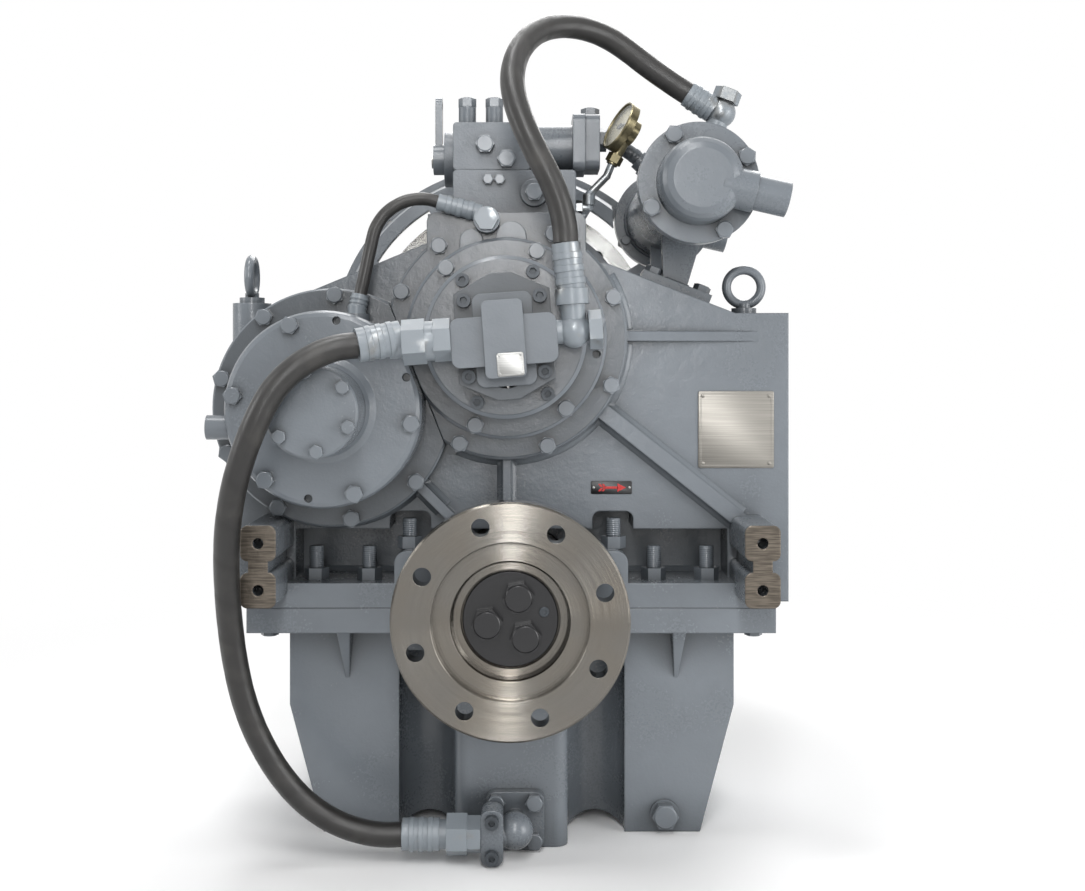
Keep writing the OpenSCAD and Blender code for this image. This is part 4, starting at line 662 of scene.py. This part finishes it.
def cove_section(size: float) -> np.ndarray:
    """Draws the section of a cast fillet: a hollow quarter circle, closed behind inside its two walls.

    Args:
        size: Radius of the hollow.

    Returns:
        Points as lengths along the first wall and the second wall.
    """
    t = np.radians(np.linspace(0, 90, 7))
    hollow = size * np.column_stack([1 - np.sin(t), 1 - np.cos(t)])
    return np.vstack([hollow, [(-SUNK, size), (-SUNK, -SUNK), (size, -SUNK)]])


def hex_tops(node: str, finish: str, slot: Slot, body: str = "casing") -> Piece:
    """Makes the turned tops of a node's hex heads, whose corners are chamfered away.

    Args:
        node: The CAD node with the heads.
        finish: Name of the tops' finish.
        slot: Their material slot.
        body: The body that they ride on.

    Returns:
        The tops, one on each regular six-cornered face of the node.
    """
    piece = Piece(node + "_tops", finish, slot, body, crease=20.0)
    work = bmesh.new()
    work.from_mesh(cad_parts[node].data)
    bmesh.ops.remove_doubles(work, verts=work.verts, dist=TINY)
    bmesh.ops.dissolve_limit(work, angle_limit=math.radians(0.5), verts=work.verts, edges=work.edges)
    for face in work.faces:
        middle = face.calc_center_median()
        reach = np.array([(v.co - middle).length for v in face.verts]) / MM
        if len(reach) == 6 and np.ptp(reach) < 0.05:
            flat = reach.mean() * math.cos(math.pi / 6)
            top = [(radius * flat, height * flat) for radius, height in HEX_TOP]
            foot = [(0, -SUNK), (top[0][0], -SUNK)]
            piece.turned(Spot(tuple(middle / MM), tuple(face.normal), (0.1, 0.2, 1)), foot + top, 24)
    work.free()
    return piece


def bare_plate(name: str, finish: str, spot: Spot, size: tuple, screw: float) -> Piece:
    """Makes a bare plate with a raised border line and a domed screw in each corner.

    Args:
        name: Its name.
        finish: Name of its finish.
        spot: Its middle and the way that it faces.
        size: Its width and height.
        screw: Radius of its screws.

    Returns:
        The plate.
    """
    outline = rounded(*size, PLATE_CORNER)
    piece = Piece(name, finish, Slot.ZINC).slab(spot, outline, PLATE_RISE)
    outer, inner = (outline * (1 - inset * screw / np.array(size)) for inset in BORDER_INSETS)
    low, high = BORDER_HEIGHTS
    piece.layers(spot, [(outer, low), (outer, high), (inner, high), (inner, low), (outer, low)])
    right, up = np.array(size) / 2 - BORDER_INSETS[0] * screw
    dome = [(0, 1), (screw, 1), *((r * screw, PLATE_RISE + h * screw) for r, h in SCREW_DOME)]
    for x, z in ((1, 1), (-1, 1), (-1, -1), (1, -1)):
        piece.turned(spot.raised(x * right, z * up, 0), dome, 16)
    return piece


class Assembly:
    """A sub-assembly: its CAD nodes by finish, those with painted hex heads, and added details."""

    NODES: ClassVar[dict[str, str]] = {}
    TOPS: ClassVar[str] = ""

    def build(self) -> None:
        """Dresses the nodes and makes the details."""
        for finish, nodes in self.NODES.items():
            for node in nodes.split():
                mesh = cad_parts[node].data
                mesh.materials.clear()
                mesh.materials.append(material(finish))
                LOG.info("%s is dressed in %s", node, finish)
        for piece in self.details():
            piece.make()

    def details(self) -> list[Piece]:
        """Returns the added pieces, which are the tops of hex heads unless a sub-assembly makes more."""
        return [hex_tops(node, "fastener_paint", Slot.FASTENER) for node in self.TOPS.split()]


@dataclass(frozen=True)
class BossFillet:
    """Part of the hollow ring where a round boss leaves the front wall."""

    centre: tuple
    radius: float
    arc: tuple
    size: float

    def add(self, piece: Piece) -> None:
        """Adds the fillet: its section is carried round the boss's axis from one angle to the other.

        Args:
            piece: The piece that it is part of.
        """
        a = np.radians(np.linspace(*self.arc, 48))[:, None]
        outwards, rise = cove_section(self.size).T
        radius = self.radius + outwards
        points = np.stack([radius * np.cos(a), radius * np.sin(a), rise + 0 * a], -1)
        piece.grid(Spot((self.centre[0], FRONT_WALL_Y, self.centre[1]), FORWARD).world(points), (True, True))


@dataclass(frozen=True)
class Corner:
    """A straight corner between two walls of the casing, with its fillet's radius."""

    start: Point
    end: Point
    first: Point
    second: Point
    size: float

    def add(self, piece: Piece) -> None:
        """Adds the fillet to a piece: its section is carried from the start to the end."""
        section = cove_section(self.size) @ np.array([self.first, self.second], float)
        piece.grid(np.stack([np.asarray(p, float) + section for p in (self.start, self.end)]), (True, True))


def rib_corners(start: Point, end: Point, width: float, size: float) -> list[Corner]:
    """Finds the two corners beside a rib on the front wall, half its width to either side.

    Args:
        start: One end of the rib's middle line, as X and Z.
        end: Its other end.
        width: The rib's width.
        size: Radius of the fillets.

    Returns:
        The two corners.
    """
    p, q = (np.array([x, FRONT_WALL_Y, z]) for x, z in (start, end))
    side = np.cross(unit(q - p), FORWARD)
    shifts = [s * side * width / 2 for s in (-1, 1)]
    return [Corner(p + shift, q + shift, unit(shift), FORWARD, size) for shift in shifts]


@dataclass(frozen=True)
class Casing(Assembly):
    """Upper and lower casing, bell housing, studs and lifting eyes, with the plates on the front wall."""

    NODES = {
        "casing_paint": "upper_casing lower_casing",
        "rough_paint": "bell_housing",
        "fastener_paint": "casing_studs drain_plug eye_bolts",
    }
    TOPS = "drain_plug"
    bosses: tuple = (
        BossFillet(INPUT_AXIS, 123.0, (-114, -2), 7),
        BossFillet(INPUT_AXIS, 123.0, (4.5, 32), 7),
        BossFillet(REVERSE_AXIS, 120.0, (214, 322), 5),
    )
    ribs: tuple = (
        ((91.0, 198.0), (233.0, 85.0), 16),
        ((INPUT_AXIS[0], 150.0), (INPUT_AXIS[0], 95.0), 8),
        ((-102.0, 128.0), (-70.0, 96.0), 10),
    )
    rib_fillet: float = 6.0
    flange_z: float = 25.0
    recess_y: float = 170.0
    recess_xs: tuple = (119.0, 221.0)
    recess_fillet: float = 5.0
    lobe_y: float = 130.0
    lobe_xs: tuple = (119.0, 229.0)
    lobe_fillet: float = 8.0
    stud_r: float = 7.0
    stud_pitch: float = 2.0
    stud_y: float = 110.0
    stud_tails: tuple = (
        (-199, 37, 59), (-145, 37, 59), (145, 37, 59), (199, 37, 59), (-104, 69, 87), (104, 69, 87),
    )
    name_middle: tuple = (230.9, FRONT_WALL_Y, 177.0)
    name_size: tuple = (78.0, 79.0)
    arrow_middle: tuple = (102.7, FRONT_WALL_Y, 117.3)
    arrow_size: tuple = (42.0, 13.4)

    def details(self) -> list[Piece]:
        """Makes fillets, threads, plug top, nameplate and arrow sign.

        Returns:
            The pieces.
        """
        spot = Spot(self.name_middle, FORWARD)
        nameplate = bare_plate("nameplate", "plate_metal", spot, self.name_size, 2.0)
        return [self._fillets(), self._threads(), *super().details(), nameplate, *self._arrow_sign()]

    def _fillets(self) -> Piece:
        """Joins the hollow fillets where bosses, ribs and flanges leave the walls.

        Returns:
            The fillets.
        """
        z, out, up, down = self.flange_z, FORWARD, (0, 0, 1), (0, 0, -1)
        parts: list[Union[BossFillet, Corner]] = [*self.bosses]
        for rib in self.ribs:
            parts.extend(rib_corners(*rib, self.rib_fillet))
        for side in (-1, 1):
            near, far = ((side * x, self.recess_y, z) for x in self.recess_xs)
            parts.append(Corner(near, far, up, out, self.recess_fillet))
            near, far = ((side * x, self.lobe_y, -z) for x in self.lobe_xs)
            parts.append(Corner(near, far, out, down, self.lobe_fillet))
        piece = Piece("casing_fillets", "casing_paint", Slot.PAINT)
        for part in parts:
            part.add(piece)
        return piece

    def _threads(self) -> Piece:
        """Makes the studs' threads: the radius rises and falls once in each turn and pitch of height.

        Returns:
            The threads.
        """
        piece = Piece("stud_threads", "fastener_paint", Slot.FASTENER)
        around = np.linspace(0, 2 * math.pi, 24, endpoint=False)
        for x, low, high in self.stud_tails:
            height = np.arange(low + 0.2, high - 1, self.stud_pitch / 6)[:, None]
            phase = (height / self.stud_pitch - around / (2 * math.pi)) % 1
            crest = self.stud_r + 0.05 + 0.5 * (1 - np.abs(2 * phase - 1))
            radius = np.vstack([0 * around, crest, 0 * around + self.stud_r - 1, 0 * around])
            rise = np.vstack([height[:1], height, [[high + 0.15], [high + 0.15]]]) + 0 * around
            across, back = x + radius * np.cos(around), self.stud_y + radius * np.sin(around)
            piece.grid(np.stack([across, back, rise], -1))
        return piece

    def _arrow_sign(self) -> list[Piece]:
        """Makes a plate with an arrow for the way of turning, and its rivets.

        Returns:
            Plate, arrow and rivets.
        """
        spot = Spot(self.arrow_middle, FORWARD)
        length, height = self.arrow_size
        back = Piece("arrow_plate", "sign_black", Slot.BLACK).slab(spot, rounded(length, height, 1.5), 1.0)
        head = np.array([[6.0, -4.4], [15.0, 0.0], [6.0, 4.4]])
        shaft = np.array([[-9.0, -1.2], [7.0, -1.2], [7.0, 1.2], [-9.0, 1.2]])
        feather = np.array([[-3.4, 3.8], [-1.0, 3.8], [1.6, 0.6], [-0.8, 0.6]])
        feathers = [feather * (1, s) + (x, 0) for x in (-10.5, -7.0) for s in (-1, 1)]
        arrow = Piece("arrow", "sign_red", Slot.PAINT)
        for outline in (head, shaft, *feathers):
            middle = outline.mean(0)
            arrow.slab(spot.raised(*middle, 0.95), outline - middle, 0.25, 0.1)
        rivets = Piece("arrow_rivets", "label_metal", Slot.ZINC)
        for x in (2.6 - length / 2, length / 2 - 2.6):
            rivets.turned(spot.raised(x, 0, 0.8), [(0, 0), (1.5, 0), (1.3, 0.6), (0.7, 0.9), (0, 1)], 14)
        return [back, arrow, rivets]


class FrontCovers(Assembly):
    """Covers, bearing rings and caps on the front of the casing, with all its bolts and screws."""

    NODES = {
        "cover_paint": "reverse_cover reverse_bearing_cover reverse_end_cap "
        "input_cover input_bearing_ring pump_adapter",
        "fastener_paint": "hex_bolts cap_bolts",
        "dark_screw": "socket_screws",
    }
    TOPS = "hex_bolts cap_bolts"


@dataclass(frozen=True)
class OilPump(Assembly):
    """Gear pump on the input shaft's end, with its bare label."""

    NODES = {
        "pump_paint": "pump_body pump_cover",
        "input_steel": "pump_drive_gear pump_idler_gear",
    }
    label_middle: tuple = (1.2, -72.0, 244.0)
    label_size: tuple = (24.0, 21.0)
    label_turn: float = 4.0

    def details(self) -> list[Piece]:
        """Makes the label, turned as the pump is.

        Returns:
            The label.
        """
        a = math.radians(self.label_turn)
        spot = Spot(self.label_middle, FORWARD, (-math.sin(a), 0, math.cos(a)))
        return [bare_plate("pump_label", "label_metal", spot, self.label_size, 1.0)]


class ControlValve(Assembly):
    """Control valve on its pedestal, with regulator, plugs and lever."""

    NODES = {
        "rough_paint": "valve_base valve_body",
        "smooth_paint": "pressure_regulator",
        "fastener_paint": "valve_plugs control_lever",
        "input_steel": "control_shaft",
    }
    TOPS = "valve_plugs"


@dataclass(frozen=True)
class OilCooler(Assembly):
    """Tube cooler on its two feet, with the weld beads of flanges and feet."""

    NODES = {
        "smooth_paint": "cooler_front_cap cooler_rear_cap cooler_shell cooler_pipe",
    }
    shell_r: float = 45.0
    flange_ys: tuple = (45.0, 381.0)
    feet_ys: tuple = (155.0, 290.0)
    foot_drop: float = 86.0
    foot_shift: float = 25.0
    foot_half: float = 13.0
    web_half: float = 5.5
    slope: float = 21.2
    ring_bead_r: float = 2.6
    foot_bead_r: float = 2.2
    ring_ripples: int = 64
    ripple: float = 4.5
    ripple_depth: float = 0.18

    def details(self) -> list[Piece]:
        """Makes the weld beads.

        Returns:
            The beads.
        """
        piece = Piece("cooler_welds", "smooth_paint", Slot.PAINT)
        for y in self.flange_ys:
            self._ring_bead(piece, y)
        for y in self.feet_ys:
            for side in (-self.web_half, self.web_half):
                self._foot_bead(piece, y + side)
        return [piece]

    def _swell(self, phase: np.ndarray) -> np.ndarray:
        """Returns a bead's share of its radius, which falls by the ripple's depth at each multiple of pi."""
        return 1 - self.ripple_depth * (1 - np.abs(np.sin(phase)))

    def _ring_bead(self, piece: Piece, y: float) -> None:
        """Adds a closed bead round the shell, whose radius swells once in each ripple.

        Args:
            piece: The piece that it is part of.
            y: Its place along the cooler.
        """
        a = np.linspace(0, 2 * math.pi, 3 * self.ring_ripples + 1)[:, None]
        b = np.linspace(0, 2 * math.pi, 10, endpoint=False)
        swell = self.ring_bead_r * self._swell(a * self.ring_ripples / 2)
        reach = self.shell_r + 0.6 + swell * np.cos(b)
        x, z = COOLER_AXIS[0] + reach * np.cos(a), COOLER_AXIS[1] + reach * np.sin(a)
        piece.grid(np.stack([x, y + swell * np.sin(b), z], -1))

    def _foot_bead(self, piece: Piece, y: float) -> None:
        """Adds a bead along the foot of a web, which leans by the slope of the casing's shoulder.

        Args:
            piece: The piece that it is part of.
            y: Its place along the cooler.
        """
        lean = math.radians(self.slope)
        along = np.linspace(0, 2 * self.foot_half, 40)
        across = self.foot_shift - self.foot_half + along
        x = COOLER_AXIS[0] + across * math.cos(lean) - self.foot_drop * math.sin(lean)
        z = COOLER_AXIS[1] - self.foot_drop * math.cos(lean) - across * math.sin(lean)
        swell = self.foot_bead_r * self._swell(along * math.pi / self.ripple)
        piece.tube(np.column_stack([x, np.full(len(x), y), z]), swell[:, None], 10)


@dataclass(frozen=True)
class PressureGauge(Assembly):
    """Oil pressure gauge on its pipe, with dial, marks, lens and bezel."""

    NODES = {
        "gauge_brass": "gauge_case",
        "zinc_plate": "gauge_pipe",
        "black_oxide": "gauge_needle",
    }
    middle: tuple = (110.0, 128.0, 491.95)
    facing: tuple = (-0.84, -0.29, 0.46)
    up: tuple = (0.47, 0.03, 0.88)
    radius: float = 24.3
    dial_depth: float = -3.95
    lens_depth: float = -1.4
    rim: tuple = (
        (27.2, -2.4), (27.4, -0.4), (26.4, 0.7), (25.0, 0.6), (24.4, -0.6), (24.4, -1.6), (27.2, -2.4),
    )
    sweep: tuple = (225.0, -45.0)
    marks: int = 26

    def details(self) -> list[Piece]:
        """Makes dial, marks, lens and bezel.

        Returns:
            The pieces.
        """
        spot, r = Spot(self.middle, self.facing, self.up), self.radius
        face = [(0, -0.1), (r, -0.1), (r, 0), (r - 0.2, 0.1), (0, 0.1)]
        glass = [(0, 0), (r + 0.1, 0), (r + 0.1, 0.3), (r / 2, 0.7), (0, 0.8)]
        on_dial, on_lens = (spot.raised(0, 0, depth) for depth in (self.dial_depth, self.lens_depth))
        dial = Piece("gauge_dial", "dial_face", Slot.BRASS).turned(on_dial, face, 48)
        lens = Piece("gauge_lens", "lens", Slot.BRASS).turned(on_lens, glass, 48)
        bezel = Piece("gauge_bezel", "gauge_brass", Slot.BRASS).turned(spot, self.rim, 56)
        return [dial, self._marks(on_dial), lens, bezel]

    def _marks(self, spot: Spot) -> Piece:
        """Makes the dial's marks at even steps of angle; every fifth one is long.

        Args:
            spot: The dial's middle.

        Returns:
            The marks.
        """
        piece = Piece("gauge_marks", "dial_ink", Slot.BLACK)
        for i, a in enumerate(np.radians(np.linspace(*self.sweep, self.marks))):
            length, width = (4.6, 0.9) if i % 5 == 0 else (2.6, 0.5)
            out, side = np.array([[math.cos(a), math.sin(a)], [-math.sin(a), math.cos(a)]])
            far, near = out * (self.radius - 2.2), out * (self.radius - 2.2 - length)
            half = side * width / 2
            outline = np.array([near - half, far - half, far + half, near + half])
            piece.layers(spot, [(outline, 0.05), (outline, 0.22)], (True, True))
        return piece


@dataclass(frozen=True)
class Hose:
    """A wrapped rubber oil hose between two fittings, with the points of its route."""

    node: str
    diameter: float
    fittings: str
    route: tuple
    spacing: float = 1.6
    sides: int = 36
    lap_depth: float = 0.15

    def build(self) -> None:
        line = smooth_route(self.route, self.spacing)
        length = float(np.linalg.norm(np.diff(line, axis=0), axis=1).sum())
        along = np.linspace(0, length, len(line))[:, None]
        around = np.linspace(0, 2 * math.pi, self.sides, endpoint=False)[None, :]
        lap = np.abs(np.sin(along * LAP_PER_MM + around * 0.5)) ** LAP_SHARPNESS
        piece = Piece("laid_" + self.node, "hose_rubber", Slot.RUBBER)
        made = piece.tube(line, self.diameter / 2 - self.lap_depth * lap, self.sides).make()
        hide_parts(self.node)
        LOG.info("%s is %.0f mm long", self.node, length)


class OilLines(Assembly):
    """Fittings of the suction, pressure and clutch hoses."""

    NODES = {
        "painted_fitting": "pressure_fittings clutch_fittings suction_fittings",
        "smooth_paint": "suction_elbow",
        "hose_rubber": "suction_hose pressure_hose clutch_hose",
    }


HOSES = (
    Hose("suction_hose", 24.0, "suction_fittings", (
        (-137, -62, 261), (-163, -68.5, 256), (-187, -73.5, 243), (-208, -76, 223), (-223.5, -76, 196),
        (-237, -70, 165), (-249, -58, 130), (-258.5, -40, 88), (-263.5, -17, 38), (-262.5, 2, -20),
        (-252, 16, -84), (-231, 26, -136), (-201, 33, -177), (-165, 37, -202), (-128, 38, -212),
        (-105, 38, -212))),
    Hose("pressure_hose", 23.0, "pressure_fittings", (
        (51, -52, 354), (47.5, -52.5, 382), (38, -54, 409), (25.5, -53, 434), (13.5, -48.5, 460),
        (5, -39.5, 486), (2.5, -26, 511), (7, -9, 534), (18, 10, 554), (35, 29.5, 568), (57, 48, 574.5),
        (81.5, 63, 573), (106, 74, 563.5), (130, 80.5, 547.5), (153.5, 83, 531), (177, 83, 515.5))),
    Hose("clutch_hose", 13.0, "clutch_fittings", (
        (-73, 75, 406), (-82.2, 74.9, 408.4), (-91.6, 74.6, 408.9), (-101, 74.3, 407.7),
        (-109.9, 73.9, 404.6), (-118.1, 73.4, 399.9), (-125.3, 72.9, 393.7), (-131.1, 72.3, 386.2),
        (-135.4, 71.7, 377.8), (-138, 71, 368.7), (-139.9, 70.3, 359.4), (-141.8, 69.5, 350.1),
        (-143.6, 68.7, 340.9), (-145.5, 67.8, 331.6), (-147.4, 66.9, 322.3), (-149.3, 66, 313))),
)


@dataclass(frozen=True)
class OutputEnd(Assembly):
    """Propeller shaft flange with its black retainer plate, bolts and dowel."""

    NODES = {
        "flange_steel": "output_flange",
        "black_oxide": "retainer_plate retainer_bolts",
        "black_rubber": "output_seal",
    }
    dowel_r: float = 5.0
    dowel_reach: float = 33.0
    dowel_angle: float = 12.0
    plate_y: float = 20.0

    def details(self) -> list[Piece]:
        """Makes the bolts' tops, and the dowel with its small centre hole.

        Returns:
            The pieces.
        """
        a, r = math.radians(self.dowel_angle), self.dowel_r
        spot = Spot((self.dowel_reach * math.cos(a), self.plate_y, self.dowel_reach * math.sin(a)), FORWARD)
        outside = [(0, -SUNK), (r, -SUNK), (r, 0.8), (r - 0.7, 1.4)]
        hole = [(r * 0.5, 1.4), (r * 0.4, 0.5), (0, 0.5)]
        dowel = Piece("retainer_dowel", "dark_screw", Slot.BLACK, "output_train")
        dowel.turned(spot, outside + hole, 24)
        return [hex_tops("retainer_bolts", "black_oxide", Slot.BLACK, "output_train"), dowel]


class GearTrain(Assembly):
    """Shafts, clutches, gears and bearings inside the casing, and the coupling in the bell."""

    NODES = {
        "flange_steel": "output_shaft output_gear output_bearing_cones bearing_cups",
        "input_steel": "input_shaft forward_drum forward_pinion input_bearing_cones coupling_ring",
        "reverse_steel": "reverse_shaft reverse_drum reverse_steel_plates reverse_bearing_cones "
        "reverse_pinion",
        "friction_lining": "forward_plates reverse_friction_plates",
        "black_rubber": "coupling_rubber",
    }


@dataclass(frozen=True)
class Lamp:
    """A soft rectangular light that is turned to the object."""

    name: str
    place: tuple
    size: tuple
    power: float

    def build(self, aim: Point) -> None:
        """Makes the lamp.

        Args:
            aim: The point that it is turned to, in metres.
        """
        data = bpy.data.lights.new(self.name, "AREA")
        data.shape, data.energy = "RECTANGLE", self.power
        data.size, data.size_y = self.size
        made = bpy.data.objects.new(self.name, data)
        made.location = self.place
        made.rotation_euler = (Vector(aim) - Vector(self.place)).to_track_quat("-Z", "Y").to_euler()
        bpy.context.scene.collection.objects.link(made)
        LOG.info("lamp %s gives %.0f W", self.name, self.power)


@dataclass(frozen=True)
class Studio:
    """Floor, soft light and the camera at the photograph's place."""

    camera_mm: tuple = (16.8, -1321.0, 243.4)
    focal_px: float = 1400.0
    frame_px: tuple = (1085.0, 891.0)
    vanishing_px: tuple = (528.0, 365.0)
    sensor_mm: float = 36.0
    clip_m: tuple = (0.05, 60.0)
    floor_z: float = -240.4
    floor_half: float = 9.0
    shadow_room: tuple = (0.45, 1.5)
    ambient: float = 0.06
    aim: tuple = (0.0, 0.2, 0.15)
    lamps: tuple = (
        Lamp("strip", (0.0, -1.9, 1.3), (0.35, 2.4), 38.0),
        Lamp("top", (-0.5, -0.2, 2.4), (0.7, 0.7), 22.0),
        Lamp("left", (-2.0, -0.4, 0.8), (0.5, 1.0), 10.0),
        Lamp("right", (1.7, -0.9, 0.35), (1.1, 1.2), 22.0),
        Lamp("back", (0.3, 1.8, 1.9), (1.8, 1.8), 48.0),
    )

    def build(self) -> None:
        """Makes camera, floor, world and lamps."""
        self._camera()
        self._floor()
        self._world()
        for lamp in self.lamps:
            lamp.build(self.aim)

    def _camera(self) -> None:
        """Makes the camera, whose frame is shifted until the vanishing point is the photograph's."""
        width, height = self.frame_px
        data = bpy.data.cameras.new("photo_camera")
        data.sensor_width = self.sensor_mm
        data.lens = self.focal_px / width * data.sensor_width
        data.shift_x = (width / 2 - self.vanishing_px[0]) / width
        data.shift_y = (self.vanishing_px[1] - height / 2) / width
        data.clip_start, data.clip_end = self.clip_m
        made = bpy.data.objects.new("photo_camera", data)
        made.location = Vector(self.camera_mm) * MM
        made.rotation_euler = (math.radians(90), 0, 0)
        bpy.context.scene.collection.objects.link(made)
        bpy.context.scene.camera = made

    def _seen(self, tree: Tree) -> Sock:
        """Returns 1 on rays that show the background: from the camera, off gloss and through glass."""
        path = tree.node("ShaderNodeLightPath", out="Is Camera Ray")
        return path + path.output("Is Glossy Ray") + path.output("Is Transmission Ray")

    def _floor(self) -> None:
        """Makes the floor, which keeps the shadow near the object and is an even white far from it."""
        t = new_tree("floor_white")
        x, y, _ = t.axes()
        back = y - self.aim[1]
        far = (x * x + back * back).root().step(*self.shadow_room)
        lit = t.node("ShaderNodeBsdfPrincipled", {"Base Color": srgb(250, 250, 250), "Roughness": 0.9})
        even = t.node("ShaderNodeEmission", {"Strength": 1.0})
        shown = t.node("ShaderNodeMixShader", (far * self._seen(t), lit, even))
        t.node("ShaderNodeOutputMaterial", (shown,))
        mesh = bpy.data.meshes.new("floor")
        corners = self.floor_half * np.array([[-1, -1], [1, -1], [1, 1], [-1, 1]])
        points = np.column_stack([corners, np.full(len(corners), self.floor_z * MM)])
        mesh.from_pydata(points.tolist(), [], [(0, 1, 2, 3)])
        mesh.materials.append(t.owner)
        floor = bpy.data.objects.new("floor", mesh)
        bpy.context.scene.collection.objects.link(floor)

    def _world(self) -> None:
        """Makes the world: white where it is seen, and a dim even light on the object."""
        t = Tree(bpy.data.worlds.new("studio"))
        white = {"Color": (1.0, 1.0, 1.0, 1.0)}
        dim, full = (t.node("ShaderNodeBackground", {**white, "Strength": s}) for s in (self.ambient, 1.0))
        t.node("ShaderNodeOutputWorld", (t.node("ShaderNodeMixShader", (self._seen(t), dim, full)),))
        bpy.context.scene.world = t.owner


ASSEMBLIES = (
    Casing(),
    FrontCovers(),
    OilPump(),
    ControlValve(),
    OilCooler(),
    PressureGauge(),
    OilLines(),
    *HOSES,
    OutputEnd(),
    GearTrain(),
)


def main() -> None:
    """Builds the studio and each sub-assembly in order."""
    logging.basicConfig(level=logging.INFO)
    bpy.context.scene.view_settings.view_transform = "Standard"
    Studio().build()
    for assembly in ASSEMBLIES:
        assembly.build()
        LOG.info("%s is done", type(assembly).__name__)


if __name__ == "__main__":
    main()
